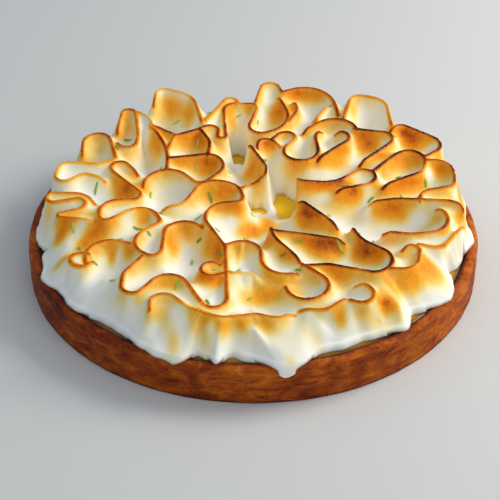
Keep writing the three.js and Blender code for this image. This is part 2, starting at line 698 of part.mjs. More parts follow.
/** One strip draped over the meringue, as a bent bar of three stations. */
function zestGeometry({ x, y, length, heading, bend }, top) {
  const stations = [-0.5, 0, 0.5].map((t) => {
    const angle = heading + bend * t;
    const px = x + t * length * Math.cos(heading + bend * t * 0.5);
    const py = y + t * length * Math.sin(heading + bend * t * 0.5);
    return { px, py, pz: top(px, py), sideX: -Math.sin(angle), sideY: Math.cos(angle) };
  });
  const place = [];
  for (const { px, py, pz, sideX, sideY } of stations) {
    for (const [side, up] of [[-1, 0], [1, 0], [1, 1], [-1, 1]]) {
      place.push(px + side * sideX * ZEST_WIDTH / 2, py + side * sideY * ZEST_WIDTH / 2);
      place.push(pz - ZEST_SUNK + up * ZEST_THICKNESS);
    }
  }
  const index = [0, 3, 1, 1, 3, 2, 8, 9, 11, 9, 10, 11];
  for (let s = 0; s < 2; s += 1) {
    for (let k = 0; k < 4; k += 1) {
      const a = 4 * s + k;
      const b = 4 * s + ((k + 1) % 4);
      index.push(a, b, a + 4, b, b + 4, a + 4);
    }
  }
  const geometry = new THREE.BufferGeometry();
  geometry.setAttribute('position', new THREE.Float32BufferAttribute(place, 3));
  geometry.setIndex(index);
  return geometry;
}

/** The largest body of a solid, without loose scraps and with sealed hollows filled. */
function wholeBody(solid) {
  return solid.decompose().reduce((best, part) => (part.volume() > best.volume() ? part : best));
}

function meringueGeometry() {
  const lines = crestLines();
  const sheet = relaxedSheet(lines);
  const raw = sheetGeometry(ringedDisc(), lines, sheet);
  let meringue = solidFrom(raw).subtract(solidFrom(bedGeometry()));
  const top = topOf(raw);
  for (const zest of zestPlaces(lines.flat())) meringue = meringue.add(solidFrom(zestGeometry(zest, top)));
  return geometryFrom(wholeBody(meringue));
}

// ------------------------------------------------------------------ assembly

const MATERIALS = {
  shell: new THREE.MeshStandardMaterial({ color: 0x8a4a1c, roughness: 0.75, metalness: 0 }),
  curd: new THREE.MeshStandardMaterial({ color: 0xd9a800, roughness: 0.3, metalness: 0 }),
  meringue: new THREE.MeshStandardMaterial({ color: 0xf1e6cf, roughness: 0.6, metalness: 0 }),
};

function piece(name, geometry, material) {
  const mesh = new THREE.Mesh(geometry, material);
  mesh.name = name;
  return mesh;
}

const pie = new THREE.Group();
pie.add(piece('crust', shellGeometry(), MATERIALS.shell));
pie.add(piece('lemon_curd', curdGeometry(), MATERIALS.curd));
pie.add(piece('meringue', meringueGeometry(), MATERIALS.meringue));

export default pie;
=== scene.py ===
# %% [markdown]
# # Lemon meringue pie
#
# A tart shell baked in a ring, lemon curd to just under its rim, and a thick layer of
# meringue pulled up into ruffles and browned with a torch. Fine shreds of lime zest lie on it.
#
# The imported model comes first. It fixes where everything is: one crust, one disc of curd
# and one body of meringue, all on one body called root, because nothing on a pie moves.

import math

import bmesh
import bpy
import numpy as np
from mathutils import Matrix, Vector, noise
from mathutils.bvhtree import BVHTree
from mathutils.kdtree import KDTree


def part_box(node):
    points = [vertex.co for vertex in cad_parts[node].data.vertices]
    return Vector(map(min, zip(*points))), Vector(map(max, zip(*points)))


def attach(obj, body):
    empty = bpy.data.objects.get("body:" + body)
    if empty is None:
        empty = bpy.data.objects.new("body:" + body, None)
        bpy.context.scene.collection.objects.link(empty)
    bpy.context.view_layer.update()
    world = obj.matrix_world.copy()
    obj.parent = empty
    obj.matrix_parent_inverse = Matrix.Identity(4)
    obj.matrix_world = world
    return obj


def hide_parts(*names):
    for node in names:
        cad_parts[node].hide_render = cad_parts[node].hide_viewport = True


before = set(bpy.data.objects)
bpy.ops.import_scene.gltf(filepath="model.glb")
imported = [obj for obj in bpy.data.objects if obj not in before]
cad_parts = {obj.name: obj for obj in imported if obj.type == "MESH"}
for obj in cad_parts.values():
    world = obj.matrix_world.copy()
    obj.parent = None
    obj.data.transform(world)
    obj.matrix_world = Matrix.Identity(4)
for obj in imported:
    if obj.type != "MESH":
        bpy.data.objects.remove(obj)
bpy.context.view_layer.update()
print("nodes", sorted(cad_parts))

# %% [markdown]
# ## Sizes
#
# The heights come from the boxes of the nodes. The other lengths are those of the packed
# model, in millimetres, as a pastry cook would give them. MM turns them into Blender's metres.

# %% Sizes
MM = 0.001
crust_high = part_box("crust")[1]
curd_low, curd_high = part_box("lemon_curd")
SHELL_RADIUS = 121.0
SHELL_HEIGHT = crust_high[2] / MM
SHELL_RIM = 6.8
SHELL_ROUND = 2.6
SHELL_FLOOR = 4.5
FOOT_ROUND = 1.2
RIM_BEVEL = 1.2
INNER_RADIUS = SHELL_RADIUS - SHELL_RIM
GAP = 0.3
CURD_TOP = curd_high[2] / MM
CURD_RADIUS = INNER_RADIUS - GAP
print("shell", SHELL_RADIUS, "by", round(SHELL_HEIGHT, 2), "curd top", round(CURD_TOP, 2))

# %% [markdown]
# ## The camera
#
# The pie is seen from the front and above, from about ninety centimetres away, with a long
# lens, so that the circle of the crust becomes an ellipse with little perspective.

# %% Camera
CAMERA_PLACE = Vector((-1.7, -727.8, 529.4)) * MM
CAMERA_PITCH = math.radians(35.73)
FOCAL_LENGTH = 118.15
SENSOR_WIDTH = 36.0

camera_data = bpy.data.cameras.new("camera")
camera_data.lens = FOCAL_LENGTH
camera_data.sensor_width = SENSOR_WIDTH
camera = bpy.data.objects.new("camera", camera_data)
camera.location = CAMERA_PLACE
camera.rotation_euler = (math.radians(90) - CAMERA_PITCH, 0, 0)
bpy.context.scene.collection.objects.link(camera)
bpy.context.scene.camera = camera
print("camera at", [round(v, 3) for v in camera.location])

# %% [markdown]
# ## Light
#
# One wide, soft lamp behind and to the right stands for a window. A weaker one fills from the
# front, and the pale world lights the rest, so that shadows stay soft.

# %% Lights
LIT_PLACE = Vector((0, 0, 0.03))
ROOM_COLOUR = (0.74, 0.86, 1.0)
ROOM_STRENGTH = 0.45


def soft_lamp(name, place, size, power, colour):
    """Adds a square area lamp at place, turned to the pie."""
    lamp = bpy.data.lights.new(name, "AREA")
    lamp.shape = "SQUARE"
    lamp.size = size
    lamp.energy = power
    lamp.color = colour
    holder = bpy.data.objects.new(name, lamp)
    holder.location = place
    holder.rotation_euler = (LIT_PLACE - Vector(place)).to_track_quat("-Z", "Y").to_euler()
    bpy.context.scene.collection.objects.link(holder)


soft_lamp("window", (0.80, 0.25, 0.60), size=0.5, power=8.0, colour=(1.0, 0.96, 0.90))
soft_lamp("fill", (0.4, -0.9, 0.75), size=1.0, power=2.7, colour=(1.0, 0.97, 0.92))

world = bpy.data.worlds.new("room")
world.use_nodes = True
room = world.node_tree.nodes["Background"].inputs
room["Color"].default_value = (*ROOM_COLOUR, 1)
room["Strength"].default_value = ROOM_STRENGTH
bpy.context.scene.world = world
bpy.context.scene.view_settings.view_transform = "Standard"
print("lights: a window, a fill and the room")

# %% [markdown]
# ## The floor
#
# A plain pale sheet, wide enough to fill the view. It is stage and not part of the pie.

# %% Floor
FLOOR_SIZE = 6
FLOOR_COLOUR = (0.71, 0.70, 0.67)


def new_material(name, roughness=0.5, colour=None):
    """A material with one shader, given with its node tree and that shader."""
    material = bpy.data.materials.new(name)
    material.use_nodes = True
    shader = material.node_tree.nodes["Principled BSDF"]
    shader.inputs["Roughness"].default_value = roughness
    if colour:
        shader.inputs["Base Color"].default_value = (*colour, 1)
    return material, material.node_tree, shader


bpy.ops.object.select_all(action="DESELECT")
bpy.ops.mesh.primitive_plane_add(size=FLOOR_SIZE)
floor = bpy.context.active_object
floor.name = "floor"
floor.data.materials.append(new_material("pale_floor", roughness=0.6, colour=FLOOR_COLOUR)[0])
print("floor", floor.name)

# %% [markdown]
# ## Helpers for the meshes
#
# Operators act on what is selected, so each new piece starts from an empty selection. A few
# short functions keep that tidy.

# %% Mesh helpers
def start_piece(name):
    """Names the primitive that was just added and goes into edit mode on it alone."""
    piece = bpy.context.active_object
    piece.name = name
    piece.data.name = name
    bpy.ops.object.mode_set(mode="EDIT")
    return piece


def select_only(piece):
    """Makes the piece the only one selected, and the active one."""
    bpy.ops.object.select_all(action="DESELECT")
    piece.select_set(True)
    bpy.context.view_layer.objects.active = piece


def settle_piece(piece):
    """Leaves edit mode and applies the piece's place, so that its object is at the origin."""
    bpy.ops.object.mode_set(mode="OBJECT")
    select_only(piece)
    bpy.ops.object.transform_apply(location=True, rotation=True, scale=True)


def per_point(piece, what):
    """One vector for each of the piece's points, as the rows of an array."""
    flat = np.empty(len(piece.data.vertices) * 3)
    piece.data.vertices.foreach_get(what, flat)
    return flat.reshape(-1, 3)


def points_of(piece):
    """The piece's points in millimetres."""
    return per_point(piece, "co") / MM


def move_points(piece, points):
    """Writes an array in millimetres back to the piece's vertices."""
    piece.data.vertices.foreach_set("co", (points * MM).ravel())
    piece.data.update()


def store_values(piece, name, values):
    """Keeps one number for each point in an attribute of the piece."""
    piece.data.attributes.new(name, "FLOAT", "POINT").data.foreach_set("value", values)
    print(name, "up to", round(float(values.max()), 2))


def edge_ends(piece):
    """The numbers of the points at the two ends of every edge, as two arrays."""
    ends = np.empty(len(piece.data.edges) * 2, dtype=np.int32)
    piece.data.edges.foreach_get("vertices", ends)
    return ends.reshape(-1, 2).T


def from_neighbours(ends, values):
    """For each point, the sum of the values at the other ends of its edges."""
    a, b = ends
    return np.bincount(a, values[b], len(values)) + np.bincount(b, values[a], len(values))


def smoothstep(low, high, value):
    """0 below low, 1 above high and an even curve between."""
    t = np.clip((value - low) / (high - low), 0, 1)
    return t * t * (3 - 2 * t)


def hump(distance, width):
    """1 in the middle, falling off over width."""
    return np.exp(-((distance / width) ** 2))


# %% [markdown]
# ## The ruffles
#
# On the real pie a spatula pulls the meringue up into sharp ridges that wind about. Each
# ridge could be drawn as a curve by hand, but its shape is simpler than that: it runs like a
# rope, straight or round a few pegs. So a ruffle is a start, some pegs and an end. A peg is
# (x, y, radius): the rope turns left round a positive one and right round a negative one.
# The last two numbers say how strongly the torch browned it, and how far down its face.

# %% Ruffle table
RUFFLES = [
    # back left
    ((-57, 88), [(-51, 97, -5.5), (-49, 84, -16.5)], (-29, 70), 0.5, 14),
    ((-94.5, 40), [(-87.5, 50.5, -7.8)], (-75.5, 35), 0.55, 12),
    ((-76.5, 60), [(-71, 78.5, -4.3), (-69, 56, -5), (-70, 49.5, -5.3)], (-76, 51), 0.55, 11),
    ((-66, 80), [(-72, 66, -15)], (-57.5, 62.5), 0.1, 5),
    ((-43, 57), [(-57.4, 65.6, 0.7), (-102, 32, -55)], (-47.3, 24.5), 0.7, 12),
    ((-43, 57), [(-31, 59.5, -2.5), (-34, 48, -10)], (-25, 37), 0.8, 16),
    ((-43.7, 56.2), [], (-47.5, 43.5), 0.5, 8),
    ((-46, 35), [(-26, 28.5, -9.7), (-29, 17, -4.7), (-46.5, 10, 13)], (-59.5, 11), 0.75, 12),
    # left
    ((-80, 16.5), [(-90, 13.5, 6), (-101.5, 18.5, -5.5), (-100, 24, -6.3), (-86.5, 37, 7.7)],
     (-77, 33), 0.3, 4),
    ((-63, 22), [(-72.5, 26.5, 5), (-65, 1.8, -4.8), (-71, -13.5, 10), (-77, -17.3, 3.7),
                 (-59, -20, -9.5), (-52.5, -19.8, -3.5), (-50, -38, 11), (-51.5, -45, 4.7),
                 (-36.5, -31, -9.8)], (-27, -24.5), 0.6, 8),
    ((-84, -4), [(-95, -8, 10.5), (-106.2, -0.9, 3.8), (-93, -6, -4.3), (-101, -15.3, 1.8)],
     (-83, -20), 0.45, 6),
    ((-62, -40), [(-73, -50, 12.8)], (-86, -54), 0.6, 9),
    ((-84, -48.6), [(-88.3, -53.7, 5.2)], (-82.9, -53), 0.5, 5),
    # middle
    ((-48, -8.5), [(-45, 3, 11), (-19, 1.5, -13), (-10, -0.5, -4.7), (-13, -18, 12.2)],
     (-15, -41), 0.65, 9),
    ((-15, -41), [(-6, -48, -10), (16.3, -52.8, 12.2)], (22, -63), 0.6, 8),
    ((-2.5, 49), [(-8, 24, -15.3)], (-6, 8), 0.8, 12),
    ((2.5, 47), [(7.5, 48.5, -5)], (15, 49.5), 0.75, 9),
    ((10.5, 53.5), [(18.5, 55, -5.3), (26.5, 42, 9.5), (44, 54, -9)], (38.5, 61.5), 0.85, 12),
    ((28, 60.5), [(46, 60, -12.3)], (58.5, 61.5), 0.7, 8),
    ((46, 59), [(48.5, 54, -5.3)], (35.5, 34), 0.8, 12),
    ((9.5, -27), [(36, -24, 27)], (24, -54), 0.8, 8),
    ((10, -28.5), [], (47, -37), 0.8, 12),
    ((24.6, -2), [], (44, -26), 0.85, 12),
    # front left
    ((-56.5, -50), [(-57.5, -65.5, 8.2), (-60.6, -73.4, 5.5), (-42.3, -75.3, -10.5),
                   (-19.5, -84, 6.5)], (-14.5, -42), 0.6, 9),
    ((-17, -54.5), [(-21, -60, 5.5)], (-14, -63.5), 0.7, 7),
    ((-13, -63), [(-5, -78, -14.5)], (2.5, -64.5), 0.25, 9),
    ((-51, -89), [(-44, -85.5, -7), (-24, -81, 11.5), (-13, -77, 20.5), (1.5, -101, -6),
                   (11, -89, 8)], (19.5, -93.3), 0.45, 7),
    ((23, -90.5), [(33, -83, 9)], (47, -82), 0.45, 7),
    ((50.9, -71.3), [(52.6, -78.7, -7.2)], (47.8, -84.6), 0.6, 7),
    ((25, -57), [(27, -73, -10.8)], (16, -72), 0.65, 8),
    # right
    ((52.5, -25.5), [(74, -23, 22), (61, -53, -9.5), (38, -67, 11)], (25, -58), 0.85, 12),
    ((76.5, -43.5), [(81, -45.7, -4.3), (75, -51, -9.5)], (69, -60.5), 0.6, 8),
    ((110, -24), [(94, -35, -7.5)], (85, -40.5), 0.5, 8),
    ((68, -29.5), [(83, -8, 24), (91, -20, 11)], (97, -9.5), 0.65, 9),
    ((62, -4.5), [(78, -23, -21), (102, -14, -10)], (111, -10), 0.75, 12),
    ((24, 18), [(27.5, 17, 3.3), (37, 35, 21.5), (60, 17, -6.6)], (45, 6.5), 0.95, 11),
    ((65.5, 22), [(85.5, 32.5, -9), (86, 28.5, -8)], (70, 8.5), 0.8, 12),
    ((95, 32.5), [(99, 23, -10), (102.5, 15.5, -6.6), (98, -2, 9)], (89, -5), 0.6, 10),
    ((77, 62.5), [(83.5, 61, -5), (97, 47, -7.5)], (95, 36), 0.8, 12),
    ((57, 62.5), [(72, 54, -6)], (58.5, 30), 0.85, 13),
    # back
    ((-27, 70.5), [(-13, 90, -4.2)], (-9, 88), 0.4, 7),
    ((-30, 63), [(-24.5, 60.5, -5), (-17.4, 55, 2.4), (-10, 82, -6.7), (-2.5, 83, -5),
                 (4.5, 66, 6.8), (4, 76, 16)], (14.5, 95.5), 0.7, 10),
    ((21, 71), [(11, 83, 14.3)], (23, 91), 0.6, 8),
    ((1, 86), [(10, 104, -5.5)], (17, 100), 0.6, 9),
    ((18, 100), [(30, 87, -17)], (48.5, 79), 0.65, 9),
    ((35, 72), [], (44, 88), 0.3, 6),
    ((51, 71.5), [(61.5, 89.5, -6), (65.8, 82.3, -11.2)], (78.2, 66), 0.45, 10),
]
print(len(RUFFLES), "ruffles")

# %% [markdown]
# ## From a rope to a crest
#
# Between two pegs the rope is the line that touches both, and round a peg it is an arc. That
# gives each crest as a smooth row of points. A loose end comes down a little, as the ridge
# does where the spatula leaves it. Some ridges are pulled higher than others, and the higher
# they are, the further they lean to the front.

# %% Crest lines
ROPE_STEP = 0.25
ROPE_SLACK = 0.5
CREST_HEIGHT = 42.0
CREST_SLOPE = 0.06
CREST_FADE = 2.5
FADE_LENGTH = 5.0
JOINED = 2.5
CREST_UNEVEN = 0.7
CREST_UNEVEN_LENGTH = (9, 11)
LIFT = 2.5
LIFT_LENGTH = (17, 23)
LIFT_SHIFT = 1
LEAN = 1.5
SLUMP = (0.5, 11, 10, 9)


def rope(start, pegs, end):
    """Points, ROPE_STEP apart, along a rope pulled taut round the pegs."""
    rounds = [(*start, 0), *pegs, (*end, 0)]
    headings = []
    for (x1, y1, r1), (x2, y2, r2) in zip(rounds, rounds[1:]):
        apart = math.hypot(x2 - x1, y2 - y1)
        lean = math.asin(max(-1, min(1, (r2 - r1) / apart)))
        headings.append(math.atan2(y2 - y1, x2 - x1) - lean)
    corners = []
    for i, (x, y, r) in enumerate(rounds):
        into = headings[max(0, i - 1)]
        out = headings[min(len(headings) - 1, i)]
        turn = math.fmod(out - into, math.tau)
        if r > 0 and turn < -ROPE_SLACK:
            turn += math.tau
        if r < 0 and turn > ROPE_SLACK:
            turn -= math.tau
        steps = max(1, math.ceil(abs(turn * r) / ROPE_STEP)) if r else 0
        for k in range(steps + 1):
            heading = into + turn * k / max(1, steps)
            corners.append((x + r * math.sin(heading), y - r * math.cos(heading)))
    corners = np.array(corners)
    lengths = np.concatenate([[0], np.cumsum(np.hypot(*np.diff(corners, axis=0).T))])
    along = np.linspace(0, lengths[-1], max(2, round(lengths[-1] / ROPE_STEP)))
    return np.stack([np.interp(along, lengths, corners[:, c]) for c in (0, 1)], axis=1)


def crest_height(x, y):
    """How high the crests stand at a place, before some are pulled higher than others."""
    along_x, along_y = CREST_UNEVEN_LENGTH
    return CREST_HEIGHT + CREST_SLOPE * y + CREST_UNEVEN * np.sin(x / along_x) * np.sin(y / along_y)


def lift(x, y):
    """How much further than that the meringue is pulled up at a place, or has slumped."""
    at_x, at_y, reach, depth = SLUMP
    slumped = depth * hump(np.hypot(x - at_x, y - at_y), reach)
    along_x, along_y = LIFT_LENGTH
    return LIFT * np.sin(x / along_x + LIFT_SHIFT) * np.cos(y / along_y) - slumped


crest_lines = [rope(*ruffle[:3]) for ruffle in RUFFLES]


def is_loose(end, own):
    """True where no other crest passes the end."""
    others = [line for line in crest_lines if line is not own]
    return min(np.hypot(*(line - end).T).min() for line in others) > JOINED


def crest_with_height(line):
    """Adds the height to a crest, with its loose ends let down."""
    step = np.arange(len(line)) * ROPE_STEP
    ends = np.full(len(line), FADE_LENGTH)
    if is_loose(line[0], line):
        ends = np.minimum(ends, step)
    if is_loose(line[-1], line):
        ends = np.minimum(ends, step[::-1])
    up = lift(line[:, 0], line[:, 1])
    height = crest_height(line[:, 0], line[:, 1]) + up - CREST_FADE * (1 - ends / FADE_LENGTH) ** 2
    return np.column_stack([line[:, 0], line[:, 1] - LEAN * up, height])


crests = [crest_with_height(line) for line in crest_lines]
crest_points = np.concatenate(crests)
crest_owner = np.concatenate([np.full(len(crest), i) for i, crest in enumerate(crests)])
print("crests", round(len(crest_points) * ROPE_STEP / 1000, 2), "metres in all")

# %% [markdown]
# ## Soft folds
#
# The outer wall isn't plain. Where the spatula was drawn down it, soft folds run from the
# ruffles to the lower edge, and a few lie inside the larger lobes. Each is a start and an end
# with their heights, and the sheet is drawn up, or down, to the line between them.

# %% Folds
FOLDS = [
    # left
    ((-86, -20, 40), (-105, -34, 27)),
    ((-96, -9, 42), (-108, -13, 28)),
    ((-96, -30, 34), (-104, -43, 25)),
    ((-99, 20, 41), (-109, 16, 27)),
    ((-88, -52, 38), (-93, -62, 27)),
    ((-74, -62, 35), (-78, -76, 26)),
    # front
    ((-61, -83, 36), (-58, -91, 26)),
    ((-39, -91, 37), (-32, -107, 24)),
    ((-22, -102, 37), (-16, -110, 24)),
    ((-1, -102, 36), (13, -118, 22)),
    ((24.7, -91, 38), (38, -102, 26)),
    ((47, -86, 40), (48.5, -102, 25)),
    ((63, -71, 39), (73, -81, 33)),
    ((73, -81, 33), (77, -89, 25)),
    ((86, -43, 40), (101, -48, 27)),
    ((104, -20, 38), (112, -28, 26)),
    ((106, 8, 41), (115, 3, 27)),
    # creases
    ((36, -94, 29), (42, -100, 25)),
    ((57, -88, 26), (70, -86, 26)),
    ((-10, -101, 26), (-2, -107, 24)),
    ((-48, -97, 27), (-44, -107, 23)),
    # inside the lobes
    ((53, -27, 37), (47, -48, 31)),
    ((4, 44, 37), (10, 32, 31)),
    ((8.5, 27, 27), (9.5, 13, 22.5)),
    ((-45, -56, 35), (-36, -68, 31)),
    ((-57, 0, 34), (-52, -14, 31)),
    ((74, 20, 35), (64, 26, 31)),
    ((-66, 72, 36), (-62, 52, 31)),
]


def straight(start, end):
    """Points about ROPE_STEP apart from one point to another."""
    start = np.array(start, float)
    end = np.array(end, float)
    steps = round(math.dist(start, end) / ROPE_STEP)
    return np.array([start + (end - start) * i / steps for i in range(steps + 1)])


fold_points = np.concatenate([straight(start, end) for start, end in FOLDS])
print(len(FOLDS), "folds")

# %% [markdown]
# ## The lower edge
#
# The meringue ends on the rim in an uneven edge. Tongues of it reach out, and one hangs over.

# %% Edge
EDGE_RADIUS = 113.2
EDGE_ROUND = 3.0
EDGE_UNEVEN = 0.3
EDGE_WAVES = (23, 61)
DRAPE = 0.22
DRAPE_MOST = 6.5
TONGUES = [(174, 2, 6), (-175.5, 3.8, 7), (-164, 1.8, 2.5), (-156, 6.6, 5), (-143, 3.8, 6),
           (-119.5, 2.2, 3), (-113, 6.9, 5.4), (-107.6, 5.2, 2.8), (-98.9, 5, 1.6),
           (-82.3, 9, 5), (-77.6, 1.8, 2), (-49.5, 4.8, 3.4),
           (-32.5, 6.6, 5.8), (-6, 5.6, 6), (10, 4.5, 8), (27, 7.2, 13), (52, 3.7, 9), (76, 2.7, 9),
           (98, 3.7, 8), (119, 6.7, 9), (141, 3.2, 9), (163, 3.7, 9)]
BAYS = [(-168.5, 3, 1.5), (-131, 1.5, 4), (-104.5, 3, 1.5), (-95.3, 3, 2.2), (-71.5, 1.5, 4), (-62, 1.8, 3.5),
        (-44, 3, 2.5), (-22, 3.6, 2.3)]


def bearing_gap(a, b):
    """Difference of two bearings in degrees, from -180 to 180."""
    return (a - b + 180) % 360 - 180


def edge_radius(angle):
    """How far the meringue reaches at a bearing in radians."""
    bearing = np.degrees(angle)
    radius = np.full_like(bearing, EDGE_RADIUS)
    for at, reach, width in TONGUES:
        radius += reach * hump(bearing_gap(bearing, at), width)
    for at, reach, width in BAYS:
        radius -= reach * hump(bearing_gap(bearing, at), width)
    wide, fine = EDGE_WAVES
    return radius + EDGE_UNEVEN * np.sin(wide * angle + 1) * np.sin(fine * angle)


def ledge_height(radius):
    """What carries the edge: the flat rim, then its rounded shoulder and the drop outside."""
    past = np.maximum(0, radius - (SHELL_RADIUS - SHELL_ROUND))
    return SHELL_HEIGHT - np.minimum(past ** 2 * DRAPE, DRAPE_MOST)


def edge_height(inwards, radius):
    """Level of the rounded bead along the lower edge."""
    t = np.clip(inwards / EDGE_ROUND, 0, 1)
    return ledge_height(radius) + EDGE_ROUND * np.sqrt(1 - (1 - t) ** 2)


outline = edge_radius(np.radians(np.arange(-180, 180)))
print("edge from", round(float(outline.min()), 1), "to", round(float(outline.max()), 1))

# %% [markdown]
# ## The sheet between the crests
#
# Between its ridges the meringue sinks in smooth hollows, as a cloth does that hangs from
# wires. That is how it is worked out here: a square grid of heights is held at the crests and
# along the lower edge, and every other height is averaged from its neighbours, again and
# again, with a pull towards the floor of the hollows.

# %% Relaxed sheet
VALLEY_HEIGHT = 23.0
SAG_LENGTH = 6.5
SKIRT_HEIGHT = 30.0
SKIRT_WIDTH = 13.0
SKIRT_MIDDLE = 0.7
DIPS = [(-9.7, 68.8, 6.4, 16.5), (-8.7, 60, 5, 18), (-8.3, 52, 5, 26), (-8.5, 46, 4, 29),
        (0.5, 15.8, 4.2, 16.5), (-2.5, 15.8, 3, 16.5), (4, 17.2, 3, 16.5),
        (1.5, 9, 4, 22.5), (-2, 8.5, 3.5, 22.5),
        (21, 15.5, 5.5, 16.5), (19, 25, 5.5, 16.5), (14.5, 24, 3.5, 16.5), (16, 30.5, 3.5, 16.5)]
DIP_HELD = 0.75
DIP_BELOW = 2
DIP_SLOPE = 0.8
FIELD_HALF = 130.0
FIELD_STEPS = [(2.6, 200), (1.3, 200)]


def rest_height(inwards, x, y):
    """The level that the sheet tends to: fuller near its edge, and lower round a dip."""
    fullest = SKIRT_WIDTH * SKIRT_MIDDLE
    rest = VALLEY_HEIGHT + (SKIRT_HEIGHT - VALLEY_HEIGHT) * hump(inwards - fullest, fullest)
    for dip_x, dip_y, dip_radius, dip_height in DIPS:
        away = np.hypot(x - dip_x, y - dip_y) - dip_radius
        rest = np.minimum(rest, dip_height - DIP_BELOW + DIP_SLOPE * np.maximum(0, away))
    return rest


def in_dips(x, y):
    """Which places are held down in the middle of a dip, and at what height."""
    height = np.full(x.shape, np.nan)
    for dip_x, dip_y, dip_radius, dip_height in DIPS:
        height[np.hypot(x - dip_x, y - dip_y) < DIP_HELD * dip_radius] = dip_height
    return ~np.isnan(height), height


def relax(step, rounds, start):
    """Relaxes the sheet on a grid of one step, from a coarser sheet where there is one."""
    count = int(round(2 * FIELD_HALF / step)) + 1
    axis = np.linspace(-FIELD_HALF, FIELD_HALF, count)
    spacing = axis[1] - axis[0]
    x, y = np.meshgrid(axis, axis)
    radius = np.hypot(x, y)
    inwards = edge_radius(np.arctan2(y, x)) - radius
    rest = rest_height(inwards, x, y)
    level = rest.copy() if start is None else sample(start, x, y)
    held = inwards < EDGE_ROUND
    level[held] = edge_height(inwards, radius)[held]
    dip, dip_level = in_dips(x, y)
    level[dip] = dip_level[dip]
    held |= dip
    for line_points in (fold_points, crest_points):
        cell = np.round((line_points[:, :2] + FIELD_HALF) / spacing).astype(int)
        level[cell[:, 1], cell[:, 0]] = line_points[:, 2]
        held[cell[:, 1], cell[:, 0]] = True
    pull = (step / SAG_LENGTH) ** 2
    free = ~held[1:-1, 1:-1]
    for _ in range(rounds):
        around = level[:-2, 1:-1] + level[2:, 1:-1] + level[1:-1, :-2] + level[1:-1, 2:]
        target = (around + pull * rest[1:-1, 1:-1]) / (4 + pull)
        level[1:-1, 1:-1] = np.where(free, target, level[1:-1, 1:-1])
    return level


def sample(level, x, y):
    """Height of the sheet at places, evened out between the grid's points."""
    step = 2 * FIELD_HALF / (level.shape[0] - 1)
    last = level.shape[0] - 1.001  # just short of the last row, so that there is one beyond it
    across = np.clip((x + FIELD_HALF) / step, 0, last)
    up = np.clip((y + FIELD_HALF) / step, 0, last)
    i = across.astype(int)
    j = up.astype(int)
    u = across - i
    v = up - j
    low = (1 - u) * level[j, i] + u * level[j, i + 1]
    high = (1 - u) * level[j + 1, i] + u * level[j + 1, i + 1]
    return (1 - v) * low + v * high


sheet = None
for step, rounds in FIELD_STEPS:
    sheet = relax(step, rounds, sheet)
print("sheet", sheet.shape, "from", round(float(sheet.min()), 1), "to", round(float(sheet.max()), 1))

# %% [markdown]
# ## The meringue's mesh
#
# A sculptor's sphere or a square grid would both do. A hexagon of six triangles is better: it
# stays made of even triangles however often it is subdivided, and it pulls out to a circle
# without a pinched middle. So a six-sided disc is added, subdivided twice and drawn out to
# the meringue's edge.

# %% Hexagon, subdivided
FIRST_CUTS = 9
SECOND_CUTS = 16
RINGS = (FIRST_CUTS + 1) * (SECOND_CUTS + 1)

bpy.ops.object.select_all(action="DESELECT")
bpy.ops.mesh.primitive_circle_add(vertices=6, radius=1, fill_type="TRIFAN")
meringue = start_piece("torched_meringue")
bpy.ops.mesh.select_all(action="SELECT")
bpy.ops.mesh.subdivide(number_cuts=FIRST_CUTS)
bpy.ops.mesh.subdivide(number_cuts=SECOND_CUTS)
settle_piece(meringue)
print("disc of", len(meringue.data.polygons), "faces in", RINGS, "rings")


# %% Hexagon to disc
TINY = 1e-9


def round_disc(flat, corner):
    """The ring, from 0 to 1, and the bearing of each point of a hexagon with corners at 1."""
    angle = np.arctan2(flat[:, 1], flat[:, 0])
    first = np.arctan2(corner[1], corner[0])
    sector = np.floor((angle - first) / (math.pi / 3) + TINY)
    low = first + sector * math.pi / 3
    high = low + math.pi / 3
    det = np.cos(low) * np.sin(high) - np.sin(low) * np.cos(high)
    a = (flat[:, 0] * np.sin(high) - flat[:, 1] * np.cos(high)) / det
    b = (np.cos(low) * flat[:, 1] - np.sin(low) * flat[:, 0]) / det
    ring = a + b
    share = b / np.maximum(ring, TINY)
    bearing = first + (sector + share) * math.pi / 3
    return ring, bearing


points = points_of(meringue) * MM
far = np.hypot(points[:, 0], points[:, 1])
ring, bearing = round_disc(points, points[np.argmax(far)])
reach = edge_radius((bearing + math.pi) % math.tau - math.pi)
x = ring * reach * np.cos(bearing)
y = ring * reach * np.sin(bearing)
print("drawn out to", round(float(np.hypot(x, y).max()), 1), "mm")

# %% [markdown]
# Where a crest passes between two points of the mesh, the nearer one is moved onto it. So
# every crest is a row of edges, and stays a clean sharp line.

# %% Points snapped to the crests
SPACING = float(reach.mean()) / RINGS
SNAP_REACH = 0.5


def tree_of(points):
    """A search tree over the plan places of some points."""
    tree = KDTree(len(points))
    for i, (px, py, _) in enumerate(points):
        tree.insert((px, py, 0), i)
    tree.balance()
    return tree


crest_tree = tree_of(crest_points)
fold_tree = tree_of(fold_points)


def nearest(tree, x, y):
    """For each place, the number of the tree's nearest point and its distance."""
    found = [tree.find((px, py, 0))[1:] for px, py in zip(x.tolist(), y.tolist())]
    return np.array([f[0] for f in found]), np.array([f[1] for f in found])


number, distance = nearest(crest_tree, x, y)
on_edge = ring > 1 - 0.5 / RINGS
snap = (distance < SPACING * SNAP_REACH) & ~on_edge
x[snap], y[snap] = crest_points[number[snap], :2].T
distance[snap] = 0
print("snapped", int(snap.sum()), "points")

# %% [markdown]
# Now the sheet is relaxed once more, on the mesh itself. The points on a crest and close
# beside it are held, which gives the crest a rounded lip. The folds are held for the first
# rounds and let go for the last few, so that they stay soft.

# %% Relaxed on the mesh
LIP = 1.0
LIP_DROP = 0.8
HELD_ROUNDS = 160
SOFT_ROUNDS = 14
UNEVEN = 0.35
UNEVEN_SIZE = 9.0

SIX_FOR_FOUR = 6 / 4  # a point has six neighbours here, where the grid's has four
FOLD_REACH = 0.55
UNEVEN_CLEAR = 3

